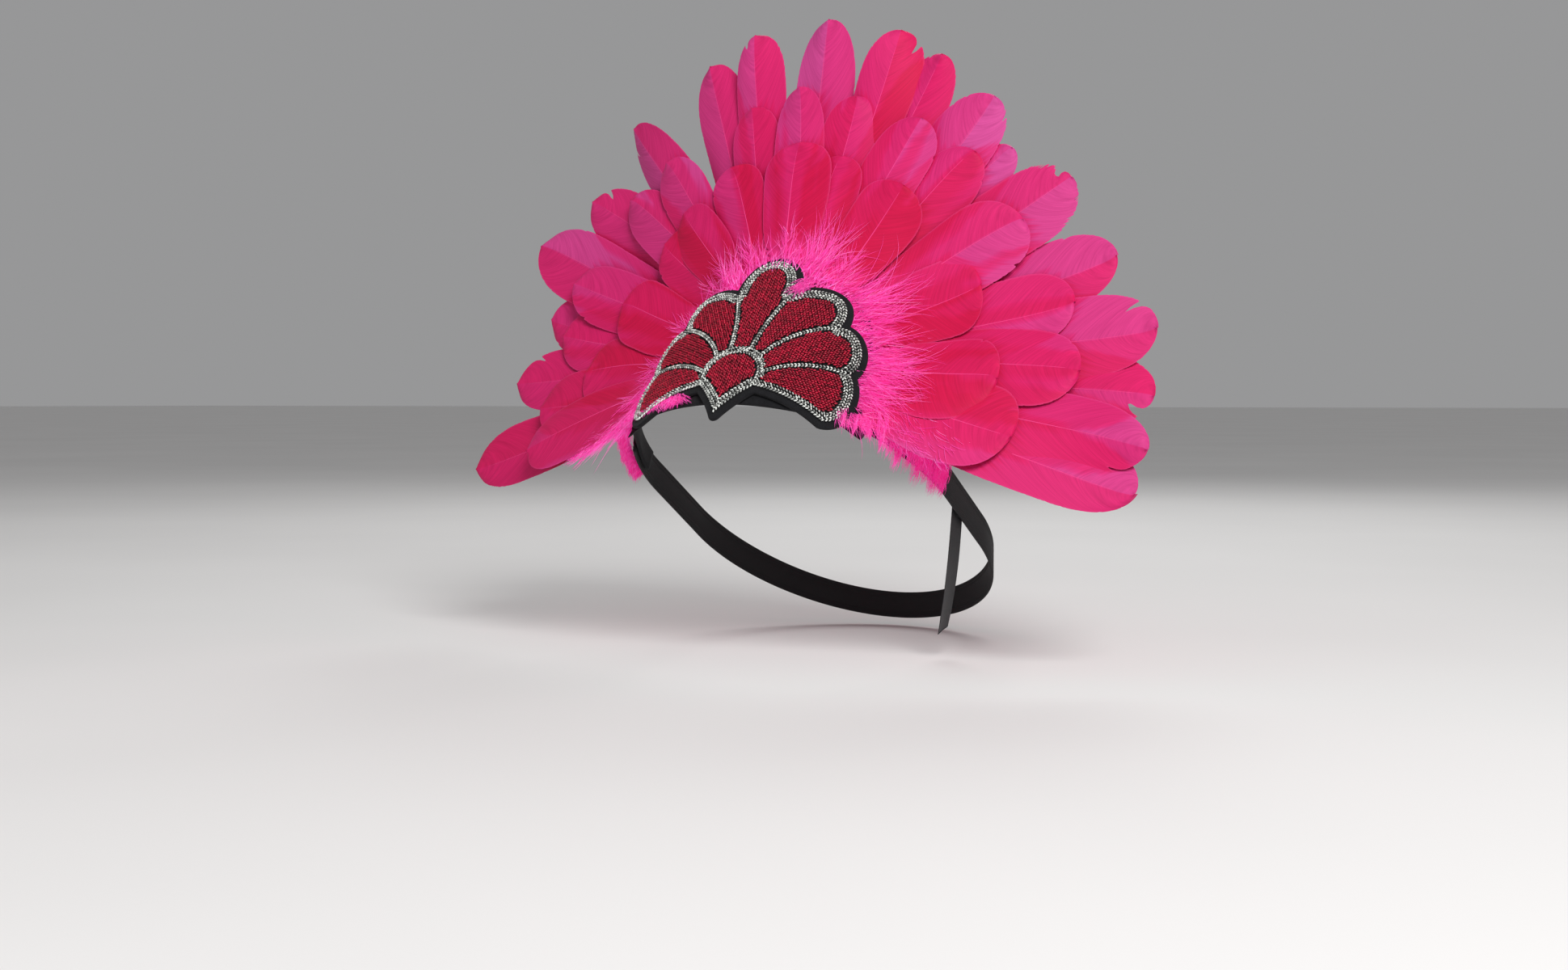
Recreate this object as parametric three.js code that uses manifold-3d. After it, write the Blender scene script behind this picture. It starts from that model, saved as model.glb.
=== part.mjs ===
// Carnival feather headdress: a felt base worn across the forehead, three rows of feathers,
// a beaded palmette medallion, an elastic strap and a ribbon tail.
// Millimetres, +Z up. The wearer faces -Y, and +X is the wearer's left hand side.
// The origin is the middle of the head opening.
import * as THREE from 'three';
import { mergeVertices } from 'three/addons/utils/BufferGeometryUtils.js';
import { TessellateModifier } from 'three/addons/modifiers/TessellateModifier.js';
import Module from 'manifold-3d';

const wasm = await Module();
wasm.setup();

// Head opening: two half circles joined by straight sides, cut by a tilted plane.
const HEAD_RADIUS = 75;
const HEAD_FRONT_Y = -25;
const HEAD_BACK_Y = 13;
const RIM_SLOPE = 0.6;
const RIM_DROP = 5;

// Forehead cone that the band lies on; its axis stands at HEAD_FRONT_Y.
const CONE_Z = 40;
const CONE_TAPER = 0.8;
const CONE_LEAN = Math.atan(CONE_TAPER);

// Felt, elastic and ribbon.
const FELT = 2;
const GAP = 0.4;
const BAND_HEIGHT = 10;
const BAND_END = 80;
const LEAN_END = 44;
const STRAP_HEIGHT = 13;
const STRAP_THICKNESS = 1.5;
const STRAP_START = 66;
const RIBBON_WIDTH = 12;
const RIBBON_THICKNESS = 0.6;
const RIBBON_BOW = 1.2;
const RIBBON_TOP = new THREE.Vector3(72.6, -9, 1);
const RIBBON_END = new THREE.Vector3(69, -18, -56);

// Medallion: bent round a cylinder that leans back (degrees), the foot of its drawing at Y and Z.
const MEDALLION_RADIUS = 92;
const MEDALLION_LEAN = 41;
const MEDALLION_Y = -100.4;
const MEDALLION_Z = 40.45;
const BACKING_THICKNESS = 1.5;
const BACKING_MARGIN = 2.8;
const TRIM_THICKNESS = 1.2;
const PETAL_THICKNESS = 1.6;
const LOBE_TRIM = 4.8;
const DIVIDER_TRIM = 1.5;
const ARCH_TRIM = 3.2;
const HEART_TRIM = 2.4;
const MAX_EDGE = 11;
const MIN_MITRE = 0.4;

// Palmette drawn flat, its foot at y = 0. Each petal runs from start along sideA to notchA, round its lobe
// to notchB and back along sideB to end. The right hand petals are mirrored.
const PALMETTE = [
  {
    name: 'upper', start: [5, 35], sideA: [6.2, 52], notchA: [13.4, 68.7],
    lobeA: [23, 75.5], lobeB: [44.5, 75], notchB: [39.6, 54.9], sideB: [19, 47.5], end: [10.5, 32],
  },
  {
    name: 'mid', start: [10.5, 32], sideA: [19, 47.5], notchA: [39.6, 54.9],
    lobeA: [49, 57.5], lobeB: [57, 41.4], notchB: [50.5, 32.4], sideB: [29.6, 33.2], end: [14.3, 23.6],
  },
  {
    name: 'lower', start: [14.3, 23.6], sideA: [29.6, 33.2], notchA: [50.5, 32.4],
    lobeA: [57, 26.5], lobeB: [57.5, 6.4], notchB: [46, 5], sideB: [31, 13], end: [13, 15.6],
  },
];
const TOP_PETAL = {
  start: [5, 35], sideA: [6.2, 52], notchA: [13.4, 68.7],
  lobeA: [15, 94.7], lobeB: [-15, 94.7], notchB: [-13.4, 68.7], sideB: [-6.2, 52], end: [-5, 35],
};
const HEART = {
  tip: [0, -0.5], side: [5, 8], corner: [13, 15.6],
  shoulderA: [17, 25.5], shoulderB: [9.5, 35.5], top: [0, 35.3],
};

// Feather fan, seen from the front: clock is the angle from straight up towards +X in degrees, reach the
// distance from the fan's centre. Past SIDE_START the medallion's rim lies further out, until LOW_END.
const FAN_CENTRE_Z = 68;
const FAN_RIM = 40;
const FAN_RIM_GROWTH = 19;
const SIDE_START = 50;
const LOW_START = 60;
const LOW_END = 113;

// Depth of the fan: layers of feathers start just behind the rim, sweep back and spread apart.
const RIM_Y = -38;
const RIM_SIDE_BACK = 5.5;
const RIM_LOW_FORWARD = 34;
const SWEEP = 0.34;
const SWEEP_LOSS = 0.22;
const SWEEP_CURL = 0.001;
const LAYER_STEP = 1;
const LAYER_SPREAD = 0.027;
const SPREAD_START = 14;

// Felt plate behind the last layer of quills.
const PLATE_LAYER = 6;
const PLATE_CLOCK = 124;
const PLATE_INSIDE_RIM = 16;
const PLATE_OUTSIDE_RIM = 5;

// One feather: a bare quill, then a vane that is widest at WIDEST of its length.
const QUILL_LENGTH = 13;
const QUILL_WIDTH = 2.2;
const SHAFT_THICKNESS = 0.65;
const ROOT_INSIDE_RIM = 11;
const VANE_BASE = 0.3;
const WIDEST = 0.7;
const VANE_STATIONS = [0, 0.2, 0.4, 0.6, 0.76, 0.88, 0.95, 0.995];

// Columns: layer (0 is the front), clock, reach, width, lean (degrees that the root lies past the tip).
const FEATHERS = {
  outer: [
    [5, -108, 181, 31, -4], [4, -95, 159, 31, -5], [5, -83, 150, 30, -8], [4, -71, 171, 35, -8],
    [5, -60, 154, 31, 10], [4, -44, 155, 27, 3], [5, -25, 153, 29, -6], [4, -14, 155, 27, 4],
    [5, 0, 155, 29, 4], [4, 15, 151, 28, 10], [5, 23, 146, 29, 12], [4, 37, 141, 32, 9],
    [5, 46, 129, 24, 10], [4, 58, 142, 35, 8], [5, 74, 147, 33, 8], [4, 87, 163, 36, 8],
    [5, 97, 166, 33, 7], [3, 104, 174, 30, 6], [4, 110, 176, 30, 1],
  ],
  middle: [
    [2, -101, 135, 31, -6], [3, -86, 134, 31, -7], [2, -75, 136, 29, -2], [3, -54, 128, 28, 2],
    [2, -41, 121, 28, 0], [3, -16, 119, 26, 2], [2, -3, 122, 25, 6], [3, 11, 118, 26, 8],
    [2, 28, 117, 29, 10], [3, 42, 118, 29, 12], [2, 61, 117, 36, 12], [3, 81, 129, 33, 7],
    [2, 94, 136, 33, 4],
  ],
  inner: [
    [0, -110, 135, 29, 4], [1, -95, 109, 32, -4], [0, -76, 98, 32, -7], [1, -55, 91, 30, 0],
    [0, -44, 91, 28, 4], [1, -24, 94, 29, 0], [0, 0, 95, 34, 3], [1, 13, 90, 27, 8],
    [0, 35, 89, 32, 8], [1, 72, 92, 36, 6], [0, 97, 104, 34, 4], [1, 108, 120, 34, 1],
  ],
};

// Downy fringe over the band, between the medallion's corner and the strap (degrees round the head).
const FRINGE_START = 53;
const FRINGE_END = 84;
const FRINGE_LIFT = -2.8;
const FRINGE_OUT = 0.6;
const STRIP_HEIGHT = 4;
const STRIP_THICKNESS = 1.6;
const LOCK_COUNT = 8;
const LOCK_LENGTH = 11;
const LOCK_SPAN = 7;
const LOCK_BULGE = 3;
const LOCK_THICKNESS = 1.1;

const FELT_BLACK = new THREE.MeshStandardMaterial({ color: 0x0b0b0c, roughness: 0.95 });
const ELASTIC_BLACK = new THREE.MeshStandardMaterial({ color: 0x101012, roughness: 0.8 });
const RIBBON_BLACK = new THREE.MeshStandardMaterial({ color: 0x131316, roughness: 0.55 });
const SILVER = new THREE.MeshStandardMaterial({ color: 0xb9beb8, roughness: 0.35, metalness: 0.8 });
const CRIMSON = new THREE.MeshStandardMaterial({ color: 0x9c0f32, roughness: 0.4 });
const HOT_PINK = new THREE.MeshStandardMaterial({ color: 0xf4208c, roughness: 0.7 });
const DOWN_PINK = new THREE.MeshStandardMaterial({ color: 0xff3ea6, roughness: 0.9 });

const radians = THREE.MathUtils.degToRad;
const smooth = (x, low, high) => THREE.MathUtils.smoothstep(x, low, high);
const UP = new THREE.Vector3(0, 0, 1);
const headdress = new THREE.Group();

function addMesh(name, geometry, material) {
  const mesh = new THREE.Mesh(geometry, material);
  mesh.name = name;
  headdress.add(mesh);
}

// A closed body from points and triangles, turned so that its faces point out.
function body(points, triangles) {
  let volume = 0;
  const cross = new THREE.Vector3();
  for (const [a, b, c] of triangles) {
    volume += cross.crossVectors(points[b], points[c]).dot(points[a]);
  }
  const index = triangles.flatMap(([a, b, c]) => (volume > 0 ? [a, b, c] : [a, c, b]));
  const geometry = new THREE.BufferGeometry();
  geometry.setAttribute('position', new THREE.Float32BufferAttribute(points.flatMap((p) => p.toArray()), 3));
  geometry.setIndex(index);
  return geometry;
}

// A tube through rings of points that all have the same count, closed by a fan at each end. The first half
// of a ring is its outer face and the second half its inner one; both faces are split along like diagonals,
// so that a twisted wall stays as thick as it should be.
function loft(rings) {
  const count = rings[0].length;
  const triangles = [];
  for (let i = 0; i + 1 < rings.length; i += 1) {
    for (let j = 0; j < count; j += 1) {
      const a = i * count + j;
      const b = i * count + ((j + 1) % count);
      if (j < count / 2) {
        triangles.push([a, b, b + count], [a, b + count, a + count]);
      } else {
        triangles.push([a, b, a + count], [b, b + count, a + count]);
      }
    }
  }
  const last = (rings.length - 1) * count;
  for (let j = 1; j + 1 < count; j += 1) {
    triangles.push([0, j + 1, j], [last, last + j, last + j + 1]);
  }
  return body(rings.flat(), triangles);
}

// A curved wall: place(u, v, side) gives the point at u along, v across, on the outer (1) or inner (0) face.
function wall(place, columns, rows) {
  const rings = [];
  for (let i = 0; i <= columns; i += 1) {
    const ring = [];
    for (let j = 0; j <= rows; j += 1) {
      ring.push(place(i / columns, j / rows, 1));
    }
    for (let j = rows; j >= 0; j -= 1) {
      ring.push(place(i / columns, j / rows, 0));
    }
    rings.push(ring);
  }
  return loft(rings);
}

function solidOf(geometry) {
  const bare = geometry.clone();
  bare.deleteAttribute('normal');
  bare.deleteAttribute('uv');
  const merged = mergeVertices(bare, 1e-4);
  const vertProperties = new Float32Array(merged.attributes.position.array);
  const triVerts = new Uint32Array(merged.index.array);
  return new wasm.Manifold(new wasm.Mesh({ numProp: 3, vertProperties, triVerts }));
}

function geometryOf(solid) {
  const mesh = solid.getMesh();
  const geometry = new THREE.BufferGeometry();
  geometry.setAttribute('position', new THREE.BufferAttribute(mesh.vertProperties, 3));
  geometry.setIndex(new THREE.BufferAttribute(mesh.triVerts, 1));
  return geometry;
}

function joined(geometries) {
  return geometries.map(solidOf).reduce((whole, piece) => whole.add(piece));
}

// Medallion

// Points along curves, each with the width of trim beside the edge that starts there.
function outlineOf(curves) {
  return curves.flatMap(([curve, steps, trim]) => (
    curve.getPoints(steps).slice(0, -1).map((point) => ({ point, trim }))));
}

function quadratic(...points) {
  return new THREE.QuadraticBezierCurve(...vectors(...points));
}

function cubic(...points) {
  return new THREE.CubicBezierCurve(...vectors(...points));
}

function petalOutline(petal, sideBTrim) {
  return outlineOf([
    [quadratic(petal.start, petal.sideA, petal.notchA), 4, DIVIDER_TRIM],
    [cubic(petal.notchA, petal.lobeA, petal.lobeB, petal.notchB), 8, LOBE_TRIM],
    [quadratic(petal.notchB, petal.sideB, petal.end), 4, sideBTrim],
    [new THREE.LineCurve(...vectors(petal.end, petal.start)), 1, DIVIDER_TRIM],
  ]);
}

function heartOutline() {
  const { tip, corner, shoulderA, shoulderB, top } = HEART;
  return outlineOf([
    [new THREE.LineCurve(...vectors(tip, corner)), 1, LOBE_TRIM],
    [cubic(corner, shoulderA, shoulderB, top), 5, HEART_TRIM],
    [cubic(top, flip(shoulderB), flip(shoulderA), flip(corner)), 5, HEART_TRIM],
    [new THREE.LineCurve(...vectors(flip(corner), tip)), 1, LOBE_TRIM],
  ]);
}

// The whole palmette's edge: from the heart's tip along the arch, round the lobes to the top, and mirrored.
function palmetteOutline() {
  const [upper, mid, lower] = PALMETTE;
  const lobes = [lower, mid, upper].map((petal) => (
    [cubic(petal.notchB, petal.lobeB, petal.lobeA, petal.notchA), 7, 0]));
  const mirroredLobes = [upper, mid, lower].map((petal) => (
    [cubic(flip(petal.notchA), flip(petal.lobeA), flip(petal.lobeB), flip(petal.notchB)), 7, 0]));
  return outlineOf([
    [quadratic(HEART.tip, HEART.side, HEART.corner), 3, 0],
    [quadratic(lower.end, lower.sideB, lower.notchB), 4, 0],
    ...lobes,
    [cubic(TOP_PETAL.notchA, TOP_PETAL.lobeA, TOP_PETAL.lobeB, TOP_PETAL.notchB), 8, 0],
    ...mirroredLobes,
    [quadratic(flip(lower.notchB), flip(lower.sideB), flip(lower.end)), 4, 0],
    [quadratic(flip(HEART.corner), flip(HEART.side), HEART.tip), 3, 0],
  ]);
}

function flip([x, y]) {
  return [-x, y];
}

function vectors(...pairs) {
  return pairs.map(([x, y]) => new THREE.Vector2(x, y));
}

// Moves each corner of an outline outwards, by the mean of distance(trim) on the two edges that meet there.
function offsetOutline(outline, distance) {
  const turned = Math.sign(THREE.ShapeUtils.area(outline.map(({ point }) => point)));
  const edges = outline.map(({ point, trim }, i) => {
    const along = outline[(i + 1) % outline.length].point.clone().sub(point).normalize();
    return { out: new THREE.Vector2(along.y, -along.x).multiplyScalar(turned), trim };
  });
  return outline.map(({ point }, i) => {
    const before = edges[(i + edges.length - 1) % edges.length];
    const after = edges[i];
    const corner = before.out.clone().add(after.out).normalize();
    const mean = 0.5 * (distance(before.trim) + distance(after.trim));
    const mitre = Math.max(MIN_MITRE, corner.dot(after.out));
    return point.clone().addScaledVector(corner, mean / mitre);
  });
}

// The area inside an outline; small loops where a tight curve has crossed itself are left out.
function sectionOf(points) {
  const anticlockwise = THREE.ShapeUtils.isClockWise(points) ? points.toReversed() : points;
  return new wasm.CrossSection([anticlockwise.map((point) => point.toArray())], 'Positive');
}

function plate(section, bottom, thickness) {
  return section.extrude(thickness).translate([0, 0, bottom]);
}

// Bends a flat plate round the medallion's cylinder: x along its curve, y up its lean, z outwards.
function bendRound(solid) {
  const lean = radians(MEDALLION_LEAN);
  const fine = new TessellateModifier(MAX_EDGE, 8).modify(geometryOf(solid).toNonIndexed());
  const position = fine.getAttribute('position');
  const point = new THREE.Vector3();
  for (let i = 0; i < position.count; i += 1) {
    point.fromBufferAttribute(position, i);
    const turn = point.x / MEDALLION_RADIUS;
    const radius = MEDALLION_RADIUS + point.z;
    const out = radius * Math.cos(turn) - MEDALLION_RADIUS;
    const y = MEDALLION_Y + point.y * Math.sin(lean) - out * Math.cos(lean);
    const z = MEDALLION_Z + point.y * Math.cos(lean) + out * Math.sin(lean);
    position.setXYZ(i, radius * Math.sin(turn), y, z);
  }
  fine.deleteAttribute('normal');
  fine.deleteAttribute('uv');
  return mergeVertices(fine, 1e-3);
}

// Every cell of the palmette: its name, and its outline with the trim beside each edge.
function palmetteCells() {
  const cells = [{ name: 'petal_top', outline: petalOutline(TOP_PETAL, DIVIDER_TRIM) }];
  for (const petal of PALMETTE) {
    const outline = petalOutline(petal, petal.name === 'lower' ? ARCH_TRIM : DIVIDER_TRIM);
    const mirrored = outline.map(({ point }, i) => ({
      point: new THREE.Vector2(-point.x, point.y),
      trim: outline.at(i - 1).trim,
    }));
    cells.push({ name: `petal_${petal.name}_left`, outline });
    cells.push({ name: `petal_${petal.name}_right`, outline: mirrored.reverse() });
  }
  cells.push({ name: 'petal_heart', outline: heartOutline() });
  return cells;
}

function buildMedallion() {
  const edge = sectionOf(palmetteOutline().map(({ point }) => point));
  const felt = edge.offset(BACKING_MARGIN, 'Miter');
  addMesh('medallion_backing', bendRound(plate(felt, -BACKING_THICKNESS, BACKING_THICKNESS)), FELT_BLACK);
  let trim = plate(edge, GAP, TRIM_THICKNESS);
  for (const { name, outline } of palmetteCells()) {
    const field = sectionOf(offsetOutline(outline, (width) => -width));
    const pocket = sectionOf(offsetOutline(outline, (width) => GAP - width));
    trim = trim.subtract(plate(pocket, 0, TRIM_THICKNESS * 2));
    addMesh(name, bendRound(plate(field, GAP, PETAL_THICKNESS)), CRIMSON);
  }
  addMesh('silver_trim', bendRound(trim), SILVER);
}

// Felt base, strap, ribbon and fringe

const rimHeight = (y) => -RIM_SLOPE * y - RIM_DROP;

// Radius of the band round the forehead: where the rim's plane cuts the cone, but no wider than the head.
function bandRadius(turn) {
  const atRim = HEAD_RADIUS - CONE_TAPER * (rimHeight(HEAD_FRONT_Y) - CONE_Z);
  return Math.min(HEAD_RADIUS, atRim / (1 + CONE_TAPER * RIM_SLOPE * Math.cos(turn)));
}

function bandPoint(turn) {
  const radius = bandRadius(turn);
  const y = HEAD_FRONT_Y - radius * Math.cos(turn);
  return new THREE.Vector3(radius * Math.sin(turn), y, rimHeight(y));
}

// A point of a band that follows the forehead: across lies in its height, out away from the head.
function onBand(turn, across, out) {
  const step = 0.01;
  const along = bandPoint(turn + step).sub(bandPoint(turn - step)).normalize();
  const away = new THREE.Vector3(Math.sin(turn), -Math.cos(turn), 0);
  const lean = CONE_LEAN * (1 - smooth(Math.abs(turn), radians(LEAN_END), radians(STRAP_START)));
  const rise = UP.clone().multiplyScalar(Math.cos(lean)).addScaledVector(away, -Math.sin(lean));
  rise.addScaledVector(along, -rise.dot(along)).normalize();
  const outwards = along.clone().cross(rise);
  outwards.multiplyScalar(Math.sign(outwards.dot(away)));
  return bandPoint(turn).addScaledVector(rise, across).addScaledVector(outwards, out);
}

const bandOut = -BACKING_THICKNESS - GAP;

function bandWall() {
  const end = radians(BAND_END);
  return wall((u, v, side) => {
    const across = (v - 0.5) * BAND_HEIGHT;
    return onBand(THREE.MathUtils.lerp(-end, end, u), across, bandOut - (1 - side) * FELT);
  }, 32, 1);
}

// Plate behind the feather roots, on the layer behind the last feathers.
function fanPlate() {
  const end = radians(PLATE_CLOCK);
  return wall((u, v, side) => {
    const clock = THREE.MathUtils.lerp(-end, end, u);
    const reach = fanRim(clock) + THREE.MathUtils.lerp(-PLATE_INSIDE_RIM, PLATE_OUTSIDE_RIM, v);
    const point = onFan(PLATE_LAYER, clock, reach);
    point.y += (1 - side) * FELT;
    return point;
  }, 34, 2);
}

function buildBase() {
  addMesh('crown_base', geometryOf(joined([bandWall(), fanPlate()])), FELT_BLACK);
}

function buildStrap() {
  const start = radians(STRAP_START - 90);
  const loop = new THREE.Path();
  loop.absarc(0, HEAD_FRONT_Y, HEAD_RADIUS, start, 0, false);
  loop.absarc(0, HEAD_BACK_Y, HEAD_RADIUS, 0, Math.PI, false);
  loop.absarc(0, HEAD_FRONT_Y, HEAD_RADIUS, Math.PI, Math.PI - start, false);
  const geometry = wall((u, v, side) => {
    const plan = loop.getPointAt(u);
    const heading = loop.getTangentAt(u);
    const along = new THREE.Vector3(heading.x, heading.y, -RIM_SLOPE * heading.y).normalize();
    const rise = UP.clone().addScaledVector(along, -along.z).normalize();
    const outwards = along.clone().cross(rise);
    const point = new THREE.Vector3(plan.x, plan.y, rimHeight(plan.y));
    point.addScaledVector(rise, (v - 0.5) * STRAP_HEIGHT);
    return point.addScaledVector(outwards, bandOut + GAP + side * STRAP_THICKNESS);
  }, 44, 1);
  addMesh('head_strap', geometry, ELASTIC_BLACK);
}

function buildRibbon() {
  const geometry = wall((u, v, side) => {
    const point = RIBBON_TOP.clone().lerp(RIBBON_END, u);
    point.x += RIBBON_BOW * Math.sin(Math.PI * u) - (1 - side) * RIBBON_THICKNESS;
    point.y += (v - 0.5) * RIBBON_WIDTH;
    return point;
  }, 10, 2);
  addMesh('ribbon_tail', geometry, RIBBON_BLACK);
}

// Tapered locks on a narrow backing strip that lies over the band.
function buildFringe(name, handed) {
  const turnAt = (u) => handed * radians(THREE.MathUtils.lerp(FRINGE_START, FRINGE_END, u));
  const strip = wall((u, v, side) => (
    onBand(turnAt(u), FRINGE_LIFT + (v - 0.5) * STRIP_HEIGHT, FRINGE_OUT + side * STRIP_THICKNESS)), 10, 1);
  const locks = [];
  for (let i = 0; i < LOCK_COUNT; i += 1) {
    const turn = turnAt((i + 0.5) / LOCK_COUNT);
    const length = LOCK_LENGTH * (i % 2 ? 0.75 : 1);
    const rings = [0, 0.55, 1].map((u) => {
      const across = FRINGE_LIFT + STRIP_HEIGHT / 4 - length * u;
      const out = FRINGE_OUT * 2 + LOCK_BULGE * Math.sin(2.2 * u);
      const spread = radians(LOCK_SPAN / 2) * (1 - 0.9 * u);
      const thick = LOCK_THICKNESS * (1 - 0.7 * u);
      return [[-1, 0], [0, 1], [1, 0], [0, -0.4]].map(([side, front]) => (
        onBand(turn + handed * side * spread, across, out + front * thick)));
    });
    locks.push(loft(rings));
  }
  addMesh(name, geometryOf(joined([strip, ...locks])), DOWN_PINK);
}

// Feathers

// How far a clock angle lies from start towards LOW_END, 0 above start and 1 at LOW_END.
function lowness(clock, start) {
  return Math.max(0, Math.abs(clock) - radians(start)) / radians(LOW_END - start);
}

// Distance of the medallion's rim from the fan's centre, seen from the front.
function fanRim(clock) {
  return FAN_RIM + FAN_RIM_GROWTH * lowness(clock, SIDE_START) ** 1.5;
}

// A point of the fan: its depth is the rim's, plus the sweep past the rim, plus the layer's own.
function onFan(layer, clock, reach) {
  const forward = RIM_LOW_FORWARD * lowness(clock, LOW_START) ** 2.1;
  const rim = RIM_Y + RIM_SIDE_BACK * Math.sin(clock) ** 2 - forward;
  const sweep = SWEEP - SWEEP_LOSS * lowness(clock, SIDE_START) ** 1.5;
  const past = reach - fanRim(clock);
  const depth = layer * (LAYER_STEP + LAYER_SPREAD * Math.max(0, past - SPREAD_START));
  const y = rim + sweep * past - SWEEP_CURL * past * Math.abs(past) + depth;
  return new THREE.Vector3(reach * Math.sin(clock), y, FAN_CENTRE_Z + reach * Math.cos(clock));
}

// Half width along the vane: a narrow base, full width at WIDEST and a round tip.
function vaneHalf(width, u) {
  if (u < WIDEST) {
    return 0.5 * width * (VANE_BASE + (1 - VANE_BASE) * Math.sin(0.5 * Math.PI * (u / WIDEST) ** 0.9));
  }
  return 0.5 * width * Math.sqrt(Math.max(0, 1 - ((u - WIDEST) / (1 - WIDEST)) ** 2.7));
}

function feather(layer, clockDegrees, reach, width, lean) {
  const clock = radians(clockDegrees);
  const rootClock = clock + radians(lean);
  const rootReach = fanRim(rootClock) - ROOT_INSIDE_RIM;
  const root = new THREE.Vector2(rootReach * Math.sin(rootClock), rootReach * Math.cos(rootClock));
  const tip = new THREE.Vector2(reach * Math.sin(clock), reach * Math.cos(clock));
  const axis = tip.clone().sub(root);
  const length = axis.length();
  axis.normalize();
  const across = new THREE.Vector2(axis.y, -axis.x);
  const place = (distance, offset, depth) => {
    const flat = root.clone().addScaledVector(axis, distance).addScaledVector(across, offset);
    const point = onFan(layer, Math.atan2(flat.x, flat.y), flat.length());
    point.y += depth;
    return point;
  };
  const section = (distance, half, shaft, thickness) => [
    [-half, 0], [-shaft, -thickness / 2], [shaft, -thickness / 2],
    [half, 0], [shaft, thickness / 2], [-shaft, thickness / 2],
  ].map(([offset, depth]) => place(distance, offset, depth));
  const rings = [
    section(0, QUILL_WIDTH / 2, QUILL_WIDTH / 4, SHAFT_THICKNESS),
    section(QUILL_LENGTH * 0.8, QUILL_WIDTH / 2, QUILL_WIDTH / 4, SHAFT_THICKNESS),
  ];
  for (const u of VANE_STATIONS) {
    const half = vaneHalf(width, u);
    const shaft = Math.min(QUILL_WIDTH / 4, half / 3);
    const thickness = SHAFT_THICKNESS * (1 - 0.5 * u);
    rings.push(section(THREE.MathUtils.lerp(QUILL_LENGTH, length, u), half, shaft, thickness));
  }
  return loft(rings);
}

function buildFeathers() {
  for (const [row, rows] of Object.entries(FEATHERS)) {
    rows.forEach(([layer, clock, reach, width, lean], i) => {
      const number = String(i + 1).padStart(2, '0');
      addMesh(`feather_${row}_${number}`, feather(layer, clock, reach, width, lean), HOT_PINK);
    });
  }
}

buildBase();
buildStrap();
buildRibbon();
buildFeathers();
buildFringe('down_fringe_left', 1);
buildFringe('down_fringe_right', -1);
buildMedallion();

export default headdress;
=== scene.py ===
"""Carnival feather headdress: feathers, down, beadwork, felt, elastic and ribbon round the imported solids."""
import math

import bpy
import numpy as np
from bpy.props import FloatProperty, FloatVectorProperty, IntProperty, PointerProperty
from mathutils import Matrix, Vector


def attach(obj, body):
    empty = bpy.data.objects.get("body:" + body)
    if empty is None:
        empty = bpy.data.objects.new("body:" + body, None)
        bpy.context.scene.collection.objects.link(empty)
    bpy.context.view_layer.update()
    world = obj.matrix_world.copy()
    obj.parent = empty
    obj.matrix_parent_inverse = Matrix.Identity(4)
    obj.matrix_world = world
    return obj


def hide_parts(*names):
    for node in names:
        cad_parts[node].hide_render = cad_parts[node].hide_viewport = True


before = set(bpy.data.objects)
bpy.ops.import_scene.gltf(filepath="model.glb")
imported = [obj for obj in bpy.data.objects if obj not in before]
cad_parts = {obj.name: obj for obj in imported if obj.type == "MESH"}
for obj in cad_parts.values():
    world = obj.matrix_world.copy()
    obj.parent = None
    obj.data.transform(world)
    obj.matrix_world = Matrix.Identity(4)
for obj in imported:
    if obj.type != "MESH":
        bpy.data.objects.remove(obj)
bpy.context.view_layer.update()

bl_info = {
    "name": "Carnival feather headdress",
    "version": (1, 0, 0),
    "blender": (4, 5, 0),
    "location": "3D View > Sidebar > Headdress",
    "description": "Builds the feathers, down, beadwork, felt and straps of a carnival headdress",
    "category": "Add Mesh",
}

MM = 0.001

# Sizes in millimetres, as in the part's source. The wearer faces -Y, and +X is the wearer's left.
HEAD_RADIUS = 75.0
HEAD_FRONT_Y = -25.0
HEAD_BACK_Y = 13.0
RIM_SLOPE = 0.6
RIM_DROP = 5.0
CONE_Z = 40.0
CONE_TAPER = 0.8
CONE_LEAN = math.atan(CONE_TAPER)

FELT = 2.0
GAP = 0.4
BAND_HEIGHT = 10.0
BAND_END = math.radians(80)
LEAN_END = math.radians(44)
STRAP_START = math.radians(66)
STRAP_HEIGHT = 13.0
STRAP_THICKNESS = 1.5
MEDALLION_RADIUS = 92.0
MEDALLION_LEAN = math.radians(41)
MEDALLION_Y = -100.4
MEDALLION_Z = 40.45
BACKING_THICKNESS = 1.5
BACKING_MARGIN = 2.8
EDGE_ROUNDING = 0.15
EDGE_SHARES = [0.985, 1.0, 1.004, 1.004, 1.0, 0.985]
EDGE_LOWS = [0, -0.12, -0.4, -1.1, -1.38, -BACKING_THICKNESS]
BAND_OUT = -BACKING_THICKNESS - GAP
RIBBON_WIDTH = 12.0
RIBBON_LENGTH = 58.4
RIBBON_TOP = np.array([72.6, -9.0, 1.0])
RIBBON_END = np.array([69.0, -18.0, -56.0])
RIBBON_BOW = 1.2
RIBBON_SET_BACK = 0.3
RIBBON_HALF_THICKNESS = 0.18

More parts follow.
